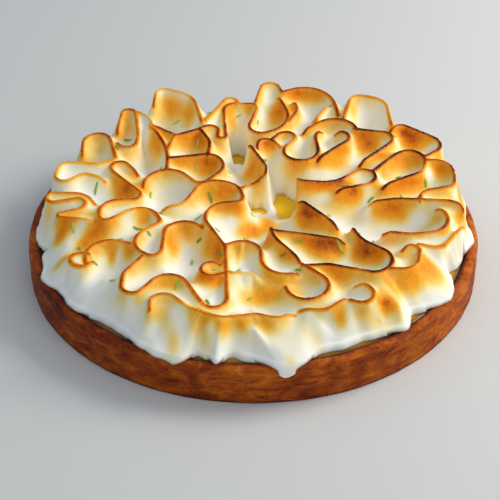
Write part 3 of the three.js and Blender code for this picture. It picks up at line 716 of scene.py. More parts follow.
ends = edge_ends(meringue)
degree = from_neighbours(ends, np.ones(len(x)))
pull = SIX_FOR_FOUR * (SPACING / SAG_LENGTH) ** 2


def relax_mesh(level, free, rest, rounds):
    """Averages the free points from their neighbours, with the pull towards rest."""
    for _ in range(rounds):
        level = np.where(free, (from_neighbours(ends, level) + pull * rest) / (degree + pull), level)
    return level


radius = np.hypot(x, y)
inwards = edge_radius(np.arctan2(y, x)) - radius
z = sample(sheet, x, y)
bead = inwards < EDGE_ROUND
z[bead] = edge_height(inwards, radius)[bead]
z[on_edge] = ledge_height(radius)[on_edge]
lip = (distance < LIP) & ~on_edge
z[lip] = crest_points[number[lip], 2] - LIP_DROP * (distance[lip] / LIP) ** 2
dip, dip_level = in_dips(x, y)
dip &= ~lip
z[dip] = dip_level[dip]
fold_number, fold_distance = nearest(fold_tree, x, y)
fold = (fold_distance < SPACING * FOLD_REACH) & ~(bead | lip | dip)
z[fold] = fold_points[fold_number[fold], 2]
rest = rest_height(inwards, x, y)
z = relax_mesh(z, ~(bead | lip | dip | fold), rest, HELD_ROUNDS)
z = relax_mesh(z, ~(bead | lip | dip), rest, SOFT_ROUNDS)
uneven = np.array([noise.noise((px / UNEVEN_SIZE, py / UNEVEN_SIZE, 0)) for px, py in zip(x, y)])
z += UNEVEN * uneven * (1 - hump(distance, UNEVEN_CLEAR)) * smoothstep(0, EDGE_ROUND, inwards)
move_points(meringue, np.column_stack([x, y, z]))
print("relaxed", len(z), "points")

# %% [markdown]
# Where a ridge stands close to the outer edge, the wall below it is so steep that few of the
# points lie on it. Smoothing those in all directions spaces them out evenly, so that the wall
# has no streaks.

# %% Steep walls evened out
STEEP = 2.0
WALL_REACH = 12.0
WALL_WIDER = 3
WALL_ROUNDS = 20
CREST_HOLD = 0.7
CREST_NEAR = 6.0

end_a, end_b = ends
rise = np.abs(z[end_a] - z[end_b])
steepest = np.zeros(len(z))
np.maximum.at(steepest, end_a, rise)
np.maximum.at(steepest, end_b, rise)
wall = (steepest > STEEP) & (inwards < WALL_REACH) & (distance < CREST_NEAR)
for _ in range(WALL_WIDER):
    beside = wall.copy()
    beside[end_a] |= wall[end_b]
    beside[end_b] |= wall[end_a]
    wall = beside
wall &= ~on_edge & (distance > CREST_HOLD)
bpy.ops.object.mode_set(mode="EDIT")
bpy.ops.mesh.select_mode(type="VERT")
bpy.ops.mesh.select_all(action="DESELECT")
bpy.ops.object.mode_set(mode="OBJECT")
meringue.data.vertices.foreach_set("select", wall)
bpy.ops.object.mode_set(mode="EDIT")
bpy.ops.mesh.vertices_smooth(factor=0.5, repeat=WALL_ROUNDS)
bpy.ops.object.mode_set(mode="OBJECT")
print("evened out", int(wall.sum()), "points of the steep walls")

# %% [markdown]
# The sheet is open below. Its edge is extruded down and in, and filled, which closes it. Then
# the bed, which is the shell and the curd made a hair larger, is cut away from it, so that
# the meringue rests on them, and curd shows where the sheet dips below it.

# %% Closed below
FOOT_DROP = 2.5
LOBE_DROP = 0.9
LOBE_START = 4
LOBE_FULL = 0.5
BELOW_BED = 12.0
BOTTOM_SHARE = 0.93

bpy.ops.object.mode_set(mode="EDIT")
bpy.ops.mesh.select_mode(type="EDGE")
bpy.ops.mesh.select_all(action="DESELECT")
bpy.ops.mesh.select_non_manifold(extend=False, use_wire=False, use_boundary=True,
                                 use_multi_face=False, use_non_contiguous=False, use_verts=False)
bpy.ops.mesh.extrude_region_move()
bpy.ops.object.mode_set(mode="OBJECT")
points = points_of(meringue)
foot = np.arange(len(points)) >= len(points) - int(on_edge.sum())
far = np.hypot(points[:, 0], points[:, 1])
thinner = smoothstep(SHELL_RADIUS - LOBE_START, SHELL_RADIUS - LOBE_FULL, far)
points[:, 2] -= np.where(foot, FOOT_DROP + (LOBE_DROP - FOOT_DROP) * thinner, 0)
move_points(meringue, points)
bpy.ops.object.mode_set(mode="EDIT")
bpy.ops.mesh.extrude_region_move()
bpy.ops.transform.resize(value=(BOTTOM_SHARE, BOTTOM_SHARE, 0),
                         center_override=(0, 0, BELOW_BED * MM))
bpy.ops.mesh.edge_face_add()
bpy.ops.mesh.select_all(action="SELECT")
bpy.ops.mesh.normals_make_consistent(inside=False)
bpy.ops.object.mode_set(mode="OBJECT")
print("closed mesh of", len(meringue.data.polygons), "faces")


# %% Bed
def spun(name, profile, sides):
    """A closed body turned from a profile of (radius, height) in millimetres."""
    bpy.ops.object.select_all(action="DESELECT")
    bpy.ops.mesh.primitive_circle_add(vertices=sides, radius=profile[0][0] * MM, fill_type="NGON",
                                      location=(0, 0, profile[0][1] * MM))
    body = start_piece(name)
    bpy.ops.mesh.select_all(action="SELECT")
    for (r0, z0), (r1, z1) in zip(profile, profile[1:]):
        bpy.ops.mesh.extrude_region_move()
        bpy.ops.transform.resize(value=(r1 / r0, r1 / r0, 1), center_override=(0, 0, 0))
        bpy.ops.transform.translate(value=(0, 0, (z1 - z0) * MM))
    bpy.ops.mesh.select_all(action="SELECT")
    bpy.ops.mesh.normals_make_consistent(inside=False)
    settle_piece(body)
    return body


def quarter(radius, height, round_radius, steps):
    """The rounded shoulder of a wall, from its side up to its top."""
    bend = [i / steps * math.pi / 2 for i in range(steps + 1)]
    return [(radius - round_radius * (1 - math.cos(a)), height - round_radius * (1 - math.sin(a)))
            for a in bend]


BED_SIDES = 180
RIM_STEPS = 6

bed_profile = [(SHELL_RADIUS + GAP, -1),
               *quarter(SHELL_RADIUS + GAP, SHELL_HEIGHT + GAP, SHELL_ROUND, RIM_STEPS),
               (CURD_RADIUS, SHELL_HEIGHT + GAP), (CURD_RADIUS, CURD_TOP + GAP)]
bed = spun("bed", bed_profile, BED_SIDES)
cut = meringue.modifiers.new("rest_on_bed", "BOOLEAN")
cut.operation = "DIFFERENCE"
cut.solver = "MANIFOLD"
cut.object = bed
bpy.context.view_layer.objects.active = meringue
bpy.ops.object.modifier_apply(modifier=cut.name)
bpy.data.objects.remove(bed)
print("meringue of", len(meringue.data.polygons), "faces")

# %% [markdown]
# ## Where the torch browned it
#
# The flame came from the front, a little above. It caught the crests first, and then the
# faces below them that look to the front, less and less the further down they go. Each point
# of the mesh gets that as numbers, kept in attributes that the material reads.

# %% Scorches
# Where the flame was held longer, or kept away, with a painted highlight along the white fold at the far
# left: (x, y, z, width, height, change).
SCORCHES = [
    # far left: two orange faces with a white fold between them, a painted highlight on the fold
    (-96, -23, 37, 7, 8, 0.75), (-101, -28, 32, 4, 6, 0.65), (-83, -25, 35, 6, 9, 0.75),
    (-89, -30, 32, 5, 5, 0.55), (-88, -41, 35, 5, 4, 0.4), (-96, -42, 31, 6, 5, 0.6),
    (-101, -47, 29, 5, 3, 0.4), (-88, -22, 38, 3, 4, -1.0), (-92, -26, 35, 3, 4, -1.0),
    (-96, -31, 32, 3, 4, -1.0), (-101, -35, 29, 3, 4, -1.0), (-108, -10, 35, 2, 7, 0.3),
    (-111, -12, 30, 2, 6, 0.25), (-97, -2, 43, 10, 3, 0.2), (-97, 26, 42, 9, 4, -0.6),
    # left
    (-67, 10, 39, 7, 7, 0.8), (-73, 14, 38, 4, 8, 0.3), (-74, -21, 41, 6, 2, 0.4),
    (-56, -11, 38, 5, 6, 0.35), (-59, -14, 35, 3, 9, 0.3), (-66, -16, 38, 6, 5, -0.8),
    (-82, -44, 36, 5, 3, 0.3), (-74, -39, 37, 8, 2, 0.2), (-73, -41, 35, 2, 8, 0.6),
    (-63, -44, 37, 5, 6, 0.45), (-77, -43, 33, 3, 5, -0.5), (-69, -42, 35, 2, 8, -0.8),
    (-58, -34, 38, 4, 7, 0.2),
    # back left petals
    (-50, 99, 48, 10, 4, -1.0), (-39, 94, 48, 5, 4, -1.0), (-50, 95, 41, 9, 9, 0.3),
    (-36, 83, 42, 6, 7, 0.6), (-42, 76, 39, 6, 2, 0.3), (-72, 70, 42, 5, 9, 0.25),
    (-66, 64, 44, 2, 9, 0.3), (-61, 62, 44, 3, 12, -0.9), (-88, 50, 40, 7, 7, 0.2),
    (-77, 43, 43, 2, 7, 0.35), (-57, 54, 40, 5, 7, 0.4), (-53, 48, 43, 3, 8, 0.3),
    (-57, 42, 34, 4, 4, 0.1), (-50, 56, 45, 6, 3, 0.25),
    # left of the middle
    (-42, 52, 43, 8, 5, 0.4), (-30, 55, 44, 5, 5, 0.55), (-27, 48, 41, 3, 5, 0.5),
    (-38, 49, 38, 3, 3, -0.4), (-26, 33, 39, 6, 7, 0.5), (-20, 31, 40, 4, 5, 0.35),
    (-41, 33, 41, 6, 4, 0.3), (-37, 30, 37, 5, 3, -0.4), (-43, 15, 36, 13, 8, -0.9),
    (-30, 22, 38, 5, 3, 0.4), (-20, 9, 37, 10, 7, 0.4), (-13, 11, 38, 6, 5, 0.25),
    (-39, -5, 36, 8, 4, -0.7), (-9, -8, 40, 4, 4, 0.8), (-16, -9, 38, 8, 4, 0.45),
    (-4, -14, 29, 6, 5, 0.6), (-17, -14, 34, 7, 6, -0.8), (-11, -12, 33, 4, 3, -0.9),
    # lobes of the front left
    (-42, -34, 35, 4, 9, 0.75), (-35, -36, 30, 3, 9, -0.9), (-34, -25, 34, 3, 5, 0.5),
    (-22, -36, 34, 6, 9, 0.55), (-18, -44, 35, 2, 8, 0.9), (-17, -53, 36, 3, 6, 0.7),
    (-23, -66, 38, 8, 4, 1.1), (-20, -56, 38, 2, 3, 0.4), (-42, -73, 36, 12, 4, 0.3),
    (-17, -68, 35, 3, 6, 0.3), (-54, -32, 36, 4, 8, -0.6), (-24, -75, 33, 4, 8, -0.5),
    # the middle
    (1, 40, 40, 4, 9, 0.35), (-2, 37, 36, 5, 6, 0.4), (5, 25, 39, 3, 8, 0.4), (-1, 30, 35, 6, 6, 0.4),
    (-7, 40, 31, 3, 3, -0.6), (4, 21, 36, 5, 3, 0.3), (-1, 19, 30, 6, 4, -0.9), (7, 53, 41, 5, 3, 0.8),
    (14, 34, 32, 2, 14, -0.8), (8, -2, 26, 4, 8, 0.8), (1, -12, 27, 5, 5, 0.6), (16, -3, 26, 5, 3, 0.25),
    (8, -34, 37, 4, 5, 1.0), (17, -45, 37, 5, 4, 0.6), (18, -36, 36, 5, 5, -0.5), (24, -40, 33, 5, 4, -0.7),
    (-8, -43, 36, 3, 5, 0.25), (8, -70, 31, 8, 9, 0.5), (21, -72, 30, 6, 6, 0.3), (-4, -62, 33, 4, 7, -0.8),
    (-2, -73, 29, 6, 6, 0.35),
    # back
    (-7, 89, 45, 8, 3, 0.3), (-2, 86, 43, 3, 4, 0.35), (-7, 83, 38, 3, 10, -0.9), (-11, 82, 37, 2, 7, 0.35),
    (-16, 82, 45, 2, 9, 0.5), (14, 91, 44, 5, 5, 0.4), (15, 85, 41, 6, 9, 0.75), (5, 84, 41, 4, 7, -0.9),
    (9, 100, 43, 4, 9, -0.9), (3, 99, 46, 3, 7, 0.4), (24, 85, 44, 3, 6, 0.6), (26, 102, 45, 6, 4, 0.65),
    (40, 92, 39, 8, 5, -0.5), (36, 99, 45, 8, 4, 0.4), (27, 93, 40, 5, 5, -0.5), (25, 52, 40, 7, 6, -0.9),
    (34, 49, 42, 2, 5, 0.35), (43, 56, 40, 7, 5, -0.6), (24, 32, 43, 9, 3, 1.0), (47, 40, 40, 7, 5, 0.25),
    (49, 44, 43, 4, 3, 0.55), (40, 31, 35, 10, 3, -0.9), (31, 29, 37, 7, 4, -0.9),
    # a dark band under the lip behind the middle, white below it
    (32, 12, 43, 10, 3, 2.4), (44, 16, 41, 8, 3, 1.8), (30, 10, 35, 8, 3, -0.9), (40, 10, 34, 6, 3, -0.9),
    # back right
    (58, 83, 46, 2, 8, 0.3), (63, 84, 42, 2, 11, -0.8), (72, 81, 42, 7, 9, -0.6), (64, 55, 42, 6, 6, 0.9),
    (74, 53, 42, 4, 3, -0.7), (83, 62, 44, 6, 4, 0.7), (89, 60, 42, 7, 6, 0.6), (81, 57, 41, 2, 7, -0.8),
    (68, 39, 44, 7, 4, 0.3), (84, 37, 40, 10, 6, 0.3), (56, 47, 39, 2, 9, -0.8), (100, 50, 40, 4, 4, -0.6),
    (104, 27, 41, 6, 5, 0.6), (106, 19, 39, 4, 4, 0.2), (97, 18, 38, 2, 9, -0.8), (95, 24, 42, 3, 5, -0.9),
    (81, 15, 39, 7, 6, 0.45), (89, 18, 39, 5, 5, 0.3), (93, 33, 40, 3, 5, 0.3), (73, 38, 42, 7, 5, 0.2),
    (113, 16, 31, 4, 9, 0.7), (111, 22, 36, 4, 8, 0.7), (102, 41, 43, 4, 4, 0.3),
    # right of the middle
    (63, 12, 37, 5, 4, -0.7), (57, 22, 40, 7, 4, -0.8), (53, 9, 38, 7, 5, 0.7), (61, -2, 34, 3, 14, -0.9),
    (42, 4, 33, 10, 5, -0.3), (74, -1, 37, 6, 4, 0.4), (70, -4, 34, 6, 4, 0.3), (79, -4, 34, 6, 5, 0.4),
    (96, -7, 40, 8, 3, -0.8), (87, -8, 34, 6, 4, -0.8), (107, 2, 36, 4, 9, 0.1), (99, -15, 37, 8, 6, 0.4),
    (94, -33, 38, 6, 2, -0.8), (106, -12, 41, 4, 4, -0.5), (27, -9, 39, 4, 7, 0.9), (33, -15, 38, 8, 7, 0.7),
    (34, -37, 37, 10, 6, 0.8), (41, -38, 36, 4, 7, 0.5), (53, -32, 38, 4, 9, 0.8), (58, -40, 36, 9, 7, 0.8),
    (65, -46, 36, 7, 6, 0.7),
    (60, -49, 34, 6, 2, -0.1), (100, -30, 39, 5, 4, 0.3), (92, -11, 33, 8, 3, -0.6), (86, -17, 31, 8, 3, 0.2),
    # front right
    (90, -52, 33, 7, 8, 0.45), (84, -58, 33, 6, 9, 0.4), (78, -68, 31, 5, 5, 0.5), (94, -56, 29, 8, 6, 0.3),
    (92, -45, 35, 3, 4, -0.9), (97, -46, 31, 3, 4, -0.9), (44, -64, 34, 7, 9, 0.4), (66, -71, 36, 7, 4, 0.35),
    (66, -84, 34, 6, 6, 0.6), (52, -79, 35, 4, 5, -0.8), (60, -90, 31, 8, 5, 0.3), (69, -85, 30, 7, 6, 0.6),
    (51, -65, 36, 5, 5, -0.5), (77, -76, 33, 2, 8, -0.7), (76, -64, 34, 6, 5, 0.25),
    (34, -64, 33, 5, 4, 0.3), (69, -76, 34, 6, 6, 0.5),
    # outer wall at the front
    (-45, -91, 32, 7, 10, 0.15), (-38, -106, 27, 5, 8, 0.35), (-34, -98, 31, 3, 16, -0.8),
    (-30, -94, 34, 4, 8, 0.35), (-23, -103, 30, 4, 10, 0.3), (-14, -102, 32, 9, 5, 0.3),
    (-9, -100, 31, 6, 5, 0.2), (7, -99, 31, 4, 4, 0.3), (34, -89, 34, 8, 3, 0.3),
    (43, -94, 32, 4, 6, 0.45), (31, -104, 27, 4, 7, 0.15), (18, -117, 24, 3, 3, 0.25),
    (104, -38, 37, 5, 7, -0.4), (0, -99, 29, 15, 9, 0.14), (53, -89, 29, 16, 8, 0.12),
    # outer wall at the sides and the back
    (-9, 108, 37, 9, 7, 0.45), (28, 105, 36, 8, 6, 0.3), (54, 95, 38, 7, 7, 0.45), (72, 86, 40, 8, 6, -0.9),
    (92, 57, 37, 7, 8, 0.4), (104, 32, 35, 4, 7, 0.3), (-46, 99, 37, 8, 7, 0.4), (-28, 104, 35, 6, 5, 0.25),
    (-76, 77, 36, 8, 8, 0.45), (-98, 46, 36, 5, 9, 0.35), (-106, 20, 34, 4, 7, 0.2),
]


print(len(SCORCHES), "places where it was held longer or kept away")

# %% Browning
MOST_BROWN = 0.85
FRONT = (-0.1, 0.75)    # how far a face looks to the front when it starts to brown, and in full
FROM_RIGHT = 0.15       # the flame comes a little from the right too
FACE_BROWN = 0.62       # the browning of a ruffle's face,
FACE_ASIDE = 0.1        # the part of it that a face turned away still gets,
FACE_DEPTH = 1.5        # and how far down it goes, times the ruffle's own depth
LIP_BROWN = 0.42        # the browning close under a crest,
LIP_ASIDE = 0.2         # the same part of that,
LIP_LENGTH = 2.8        # and the distance over which it fades
DOWN_COUNTS = 0.8       # a mm down counts as this much distance from the crest
FOLD_HIGHLIGHT = 0.75       # painted highlight along the folds: they stay whiter by this part,
FOLD_WIDTH = 2.5        # over this width
LINE_LEAST = 0.25       # the line along a crest, at the least,
LINE_MORE = 0.8         # and what a ruffle's strength adds to it
LINE_WHITE = 0.8        # how far a face that is kept white also keeps its line white
CURD_CLEAR = 1
FACE_ROUNDS = 6
LINE_ROUNDS = 10

strengths = np.array([ruffle[3] for ruffle in RUFFLES])
depths = np.array([ruffle[4] for ruffle in RUFFLES])


def scorched(points, sign):
    """How much more, or less, the flame reached each point."""
    total = np.zeros(len(points))
    for x, y, z, width, height, change in SCORCHES:
        if change * sign > 0:
            across = (points[:, 0] - x) / width
            up = np.hypot(points[:, 1] - y, points[:, 2] - z) / height
            total += abs(change) * np.exp(-(across ** 2 + up ** 2))
    return total


def seen(front, aside):
    """The part of a browning that a face gets, from aside, turned away, to 1."""
    return aside + (1 - aside) * front


def browning(points, normals):
    """How brown the faces are, from 0, white, to 1, burnt, then the same for the line along
    the crests, and each point's distance from its crest."""
    number, distance = nearest(crest_tree, points[:, 0], points[:, 1])
    strength = strengths[crest_owner[number]]
    depth = depths[crest_owner[number]]
    drop = np.maximum(0, crest_points[number, 2] - points[:, 2])
    front = smoothstep(*FRONT, -normals[:, 1] + FROM_RIGHT * normals[:, 0])
    from_crest = np.hypot(distance, DOWN_COUNTS * drop)
    face = FACE_BROWN * strength * seen(front, FACE_ASIDE) * np.clip(1 - drop / (FACE_DEPTH * depth), 0, 1)
    face += LIP_BROWN * strength * seen(front, LIP_ASIDE) * np.exp(-from_crest / LIP_LENGTH)
    kept_white = np.clip(scorched(points, -1), 0, 1)
    face = (face + scorched(points, 1)) * (1 - kept_white)
    # painted highlight: the folds are kept whiter
    face *= 1 - FOLD_HIGHLIGHT * hump(nearest(fold_tree, points[:, 0], points[:, 1])[1], FOLD_WIDTH)
    face = MOST_BROWN * (1 - np.exp(-face / MOST_BROWN))
    line = (LINE_LEAST + LINE_MORE * strength) * (1 - LINE_WHITE * kept_white)
    bare = points[:, 2] < CURD_TOP + CURD_CLEAR
    face[bare] = 0
    line[bare] = 0
    return face, line, from_crest


def evened(piece, values, rounds):
    """Values of the points, averaged with their neighbours again and again."""
    ends = edge_ends(piece)
    count = from_neighbours(ends, np.ones(len(values)))
    for _ in range(rounds):
        values = (values + from_neighbours(ends, values)) / (1 + count)
    return values


face_brown, edge_brown, from_crest = browning(points_of(meringue), per_point(meringue, "normal"))
store_values(meringue, "face_brown", evened(meringue, face_brown, FACE_ROUNDS))
store_values(meringue, "edge_brown", evened(meringue, edge_brown, LINE_ROUNDS))
store_values(meringue, "from_crest", from_crest)

# %% [markdown]
# ## Materials
#
# Small functions add and link nodes, so that each material reads as a short recipe.

# %% Node helpers
def node(tree, kind, **settings):
    """Adds a node and sets its properties, or its inputs where the name is an input's."""
    made = tree.nodes.new(kind)
    for key, value in settings.items():
        if hasattr(made, key):
            setattr(made, key, value)
        else:
            made.inputs[key.replace("_", " ").title()].default_value = value
    return made


def feed(tree, value, socket):
    """Links another node's output to a socket, or sets a plain value on it."""
    if isinstance(value, bpy.types.NodeSocket):
        tree.links.new(value, socket)
    else:
        socket.default_value = value


def worked_out(tree, operation, *values):
    """The result of a math node fed with the values."""
    made = node(tree, "ShaderNodeMath", operation=operation)
    for value, socket in zip(values, made.inputs):
        feed(tree, value, socket)
    return made.outputs[0]


def own_place(tree):
    """Places on the object."""
    return node(tree, "ShaderNodeTexCoord").outputs["Object"]


def stretched(tree, scale):
    """Places on the object, with each axis multiplied by its part of scale."""
    made = node(tree, "ShaderNodeMapping")
    made.inputs["Scale"].default_value = scale
    tree.links.new(own_place(tree), made.inputs["Vector"])
    return made.outputs["Vector"]


def texture(tree, kind, place, output, **settings):
    """One output of a texture that is laid out over place."""
    made = node(tree, "ShaderNodeTex" + kind, **settings)
    tree.links.new(place, made.inputs["Vector"])
    return made.outputs[output]


def attribute(tree, name):
    """The numbers that the piece keeps under a name."""
    return node(tree, "ShaderNodeAttribute", attribute_name=name).outputs["Fac"]


def bumped(tree, shader, height, strength, distance):
    """Lets the surface look raised by height."""
    bump = node(tree, "ShaderNodeBump", strength=strength, distance=distance)
    tree.links.new(height, bump.inputs["Height"])
    tree.links.new(bump.outputs["Normal"], shader.inputs["Normal"])


def linear(red, green, blue):
    """Screen colour from 0 to 255 as the linear colour that a shader takes."""
    return tuple(((v / 255 + 0.055) / 1.055) ** 2.4 if v > 10 else v / 255 / 12.92
                 for v in (red, green, blue))


def ramp(tree, source, stops):
    """A colour ramp over source, from stops of a position and a screen colour."""
    made = tree.nodes.new("ShaderNodeValToRGB")
    while len(made.color_ramp.elements) < len(stops):
        made.color_ramp.elements.new(0.5)
    for element, (position, colour) in zip(made.color_ramp.elements, stops):
        element.position = position
        element.color = (*linear(*colour), 1)
    tree.links.new(source, made.inputs["Fac"])
    return made.outputs["Color"]


# %% Meringue material
EDGE_LINE = 1.9             # width of the line along the crests
BLOTCHES = (0.8, 0.45)      # how far the blotches change the browning, and what is there without
GRAIN = 0.3                 # how far the grain changes it
GRAIN_BUMP = 0.25
ROUGHNESS = (-0.15, 0.55)   # what full browning adds to the roughness, and that of the white
TORCHED = [
    (0.00, (250, 248, 240)), (0.10, (254, 242, 205)), (0.22, (255, 218, 125)), (0.36, (255, 178, 45)),
    (0.55, (242, 138, 12)), (0.72, (176, 76, 5)), (0.87, (80, 28, 5)), (1.00, (30, 10, 5)),
]


def meringue_material():
    """White and soft, browned by the attributes, with a little unevenness in the browning."""
    material, tree, shader = new_material("torched_meringue")
    shader.inputs["Specular IOR Level"].default_value = 0.15
    shader.inputs["Subsurface Weight"].default_value = 0.15
    shader.inputs["Subsurface Radius"].default_value = (0.003, 0.002, 0.0014)
    shader.inputs["Subsurface Scale"].default_value = 1.0
    place = own_place(tree)
    blotch = texture(tree, "Noise", place, "Fac", scale=130.0, detail=4.0, roughness=0.6)
    grain = texture(tree, "Noise", place, "Fac", scale=900.0, detail=2.0)
    bubble = texture(tree, "Voronoi", place, "Distance", scale=520.0)
    away = attribute(tree, "from_crest")
    fall = worked_out(tree, "MULTIPLY", worked_out(tree, "MULTIPLY", away, away), -1 / EDGE_LINE ** 2)
    near = worked_out(tree, "EXPONENT", fall)
    line = worked_out(tree, "MULTIPLY", near, attribute(tree, "edge_brown"))
    brown = worked_out(tree, "MAXIMUM", line, attribute(tree, "face_brown"))
    uneven = worked_out(tree, "MULTIPLY_ADD", blotch, *BLOTCHES)
    amount = worked_out(tree, "MULTIPLY", brown, worked_out(tree, "MULTIPLY_ADD", grain, GRAIN, uneven))
    tree.links.new(ramp(tree, amount, TORCHED), shader.inputs["Base Color"])
    crisp = worked_out(tree, "MULTIPLY", amount, bubble)
    raised = worked_out(tree, "MULTIPLY_ADD", grain, GRAIN_BUMP, crisp)
    bumped(tree, shader, raised, strength=0.5, distance=0.0006)
    tree.links.new(worked_out(tree, "MULTIPLY_ADD", amount, *ROUGHNESS), shader.inputs["Roughness"])
    return material


meringue.data.materials.clear()
meringue.data.materials.append(meringue_material())
select_only(meringue)
bpy.ops.object.shade_smooth()
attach(meringue, "root")
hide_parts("meringue")
print("meringue done")

# %% [markdown]
# ## The crust
#
# Shortcrust baked in a ring has a flat top, a straight wall and softly rounded edges. It is
# turned from a profile, by extruding a disc and resizing it step by step.

# %% Crust
SHELL_RELIEF = 0.5
WALL_WAVES = ((7, 1), (17, -0.4), (29, 0.7))   # how many go round, and their shift with height
STREAK_SIZE = (14, 0.55, 3)
STREAK_DEPTH = 0.35
CRUMB_SIZE = 0.45
CRUMB_DEPTH = 0.25
RIM_SINK = (0.25, 0.5, 0.3, 0.6)   # at least, by the crumbs, by the streaks and at most
DENTED = (-1, 0.5)         # where the dents start at the rim, from the end of its flat part,
DENTED_UP = (0.0, 0.8)     # and where they start at the foot
RIM_FROM = 0.5             # the rim sinks from here outwards,
RIM_DOWN = 1               # and from this far below its top upwards
BURNT_SHADED_RIM = (0.8, 3.2)     # where the dark inner edge of the rim ends, burnt crust with painted shade of the gap under the meringue,
BURNT_SHADED_RAGGED = 1.2         # how uneven its end is,
RAGGED_WAVES = (19, 7)     # in how many waves round,
SHADED_FOOT = (0.4, 2.2)    # where the painted contact shade along the foot ends,
FOOT_SHADE_SHARE = 0.8     # and how dark that is
CRUST_SIDES = 512
WALL_LEVELS = 18
FOOT_STEPS = 4
FLAT_STEPS = 4

foot_round = quarter(SHELL_RADIUS, SHELL_HEIGHT, FOOT_ROUND, FOOT_STEPS)[::-1]
straight_part = SHELL_HEIGHT - SHELL_ROUND - FOOT_ROUND
flat_part = SHELL_RIM - SHELL_ROUND - RIM_BEVEL
crust_profile = [(r, SHELL_HEIGHT - z) for r, z in foot_round]
crust_profile += [(SHELL_RADIUS, FOOT_ROUND + straight_part * i / WALL_LEVELS) for i in range(1, WALL_LEVELS)]
crust_profile += quarter(SHELL_RADIUS, SHELL_HEIGHT, SHELL_ROUND, RIM_STEPS)
crust_profile += [(INNER_RADIUS + RIM_BEVEL + flat_part * i / FLAT_STEPS, SHELL_HEIGHT)
                  for i in reversed(range(FLAT_STEPS))]
crust_profile += [(INNER_RADIUS, SHELL_HEIGHT - RIM_BEVEL), (INNER_RADIUS, SHELL_FLOOR)]
crust = spun("baked_crust", crust_profile, CRUST_SIDES)


def oven_relief(points):
    """Shallow waves, dents and crumbs that the oven leaves in the outer wall and the rim."""
    radius = np.hypot(points[:, 0], points[:, 1])
    angle = np.arctan2(points[:, 1], points[:, 0])
    z = points[:, 2]
    wave = sum(np.sin(count * angle + shift * z) for count, shift in WALL_WAVES)
    round_size, up_size, slice_at = STREAK_SIZE
    streak = np.array([noise.noise((a * round_size, up * up_size, slice_at)) for a, up in zip(angle, z)])
    crumb = np.array([noise.noise(Vector(p) * CRUMB_SIZE) for p in points])
    dig = SHELL_RELIEF * (0.5 + wave / (2 * len(WALL_WAVES))) + STREAK_DEPTH * streak + CRUMB_DEPTH * crumb
    flat_edge = SHELL_RADIUS - SHELL_ROUND
    outer = smoothstep(flat_edge + DENTED[0], flat_edge + DENTED[1], radius) * smoothstep(*DENTED_UP, z)
    shrink = 1 - np.clip(dig, 0, 1) * outer / np.maximum(radius, 1)
    on_rim = (radius > INNER_RADIUS + RIM_FROM) * smoothstep(SHELL_HEIGHT - RIM_DOWN, SHELL_HEIGHT, z)
    least, by_crumb, by_streak, most = RIM_SINK
    sink = np.clip(least + by_crumb * crumb + by_streak * streak, 0, most) * on_rim
    return np.column_stack([points[:, 0] * shrink, points[:, 1] * shrink, z - sink])


def burnt_and_shaded_edges(points):
    """Darker where the rim meets the filling, burnt crust with painted shade of the gap under the meringue,
    and painted contact shade along the foot, from 0 to 1.
    """
    radius = np.hypot(points[:, 0], points[:, 1])
    angle = np.arctan2(points[:, 1], points[:, 0])
    fine, wide = RAGGED_WAVES
    ragged = BURNT_SHADED_RAGGED * np.sin(fine * angle) * np.sin(wide * angle + 2)
    start, end = BURNT_SHADED_RIM
    inner_edge = 1 - smoothstep(INNER_RADIUS + start, INNER_RADIUS + end + ragged, radius)
    # painted contact shade along the foot
    foot_shade = 1 - smoothstep(*SHADED_FOOT, points[:, 2])
    return np.clip(inner_edge + FOOT_SHADE_SHARE * foot_shade, 0, 1)


# The darker inner rim edge is burnt crust with painted shade of the gap under the meringue; the darker foot
# is painted contact shade.
burnt_and_shaded = burnt_and_shaded_edges(points_of(crust))
move_points(crust, oven_relief(points_of(crust)))
store_values(crust, "burnt_and_shaded", burnt_and_shaded)

# %% Crust material
SMOOTH_BELOW = math.radians(40)
BAKED = [(0.50, (70, 18, 2)), (0.62, (118, 42, 3)), (0.72, (150, 62, 4)), (0.84, (186, 92, 8)),
         (1.00, (215, 130, 30))]
PITS = [(0.04, (110, 80, 60)), (0.14, (255, 255, 255))]
# Multiplied in at the inner rim edge and at the foot: burnt crust there, and painted shade.
BURNT_AND_SHADED_COLOUR = (110, 60, 40)
PATCHES = 0.45              # how far patches of lighter and darker crust change the streaks
SQUASHED = (1.0, 1.0, 2.6)  # streaks and pits lie flat along the wall


def multiplied(tree, under, over, share):
    """A colour multiplied by another, by a share from 0 to 1."""
    made = node(tree, "ShaderNodeMix", data_type="RGBA", blend_type="MULTIPLY")
    for name, value in (("Factor", share), ("A", under), ("B", over)):
        feed(tree, value, made.inputs[name])
    return made.outputs["Result"]


def crust_material():
    """Browned shortcrust: streaks round the wall, small dark pits, and a darker inner rim edge and foot:
    burnt crust with painted shade at the rim's edge, and painted contact shade at the foot.
    """
    material, tree, shader = new_material("baked_crust", roughness=0.6)
    shader.inputs["Specular IOR Level"].default_value = 0.15
    flat = stretched(tree, SQUASHED)
    streak = texture(tree, "Noise", flat, "Fac", scale=75.0, detail=7.0, roughness=0.72, distortion=0.6)
    patch = texture(tree, "Noise", own_place(tree), "Fac", scale=26.0, detail=3.0)
    pit = texture(tree, "Voronoi", flat, "Distance", scale=150.0)
    mixed = worked_out(tree, "MULTIPLY_ADD", patch, PATCHES, streak)
    pitted = multiplied(tree, ramp(tree, mixed, BAKED), ramp(tree, pit, PITS), 1.0)
    colour = multiplied(tree, pitted, (*linear(*BURNT_AND_SHADED_COLOUR), 1), attribute(tree, "burnt_and_shaded"))
    tree.links.new(colour, shader.inputs["Base Color"])
    bumped(tree, shader, streak, strength=0.7, distance=0.001)
    return material


crust.data.materials.append(crust_material())
bpy.ops.object.shade_smooth_by_angle(angle=SMOOTH_BELOW)
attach(crust, "root")
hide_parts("crust")
print("crust", len(crust.data.polygons), "faces")

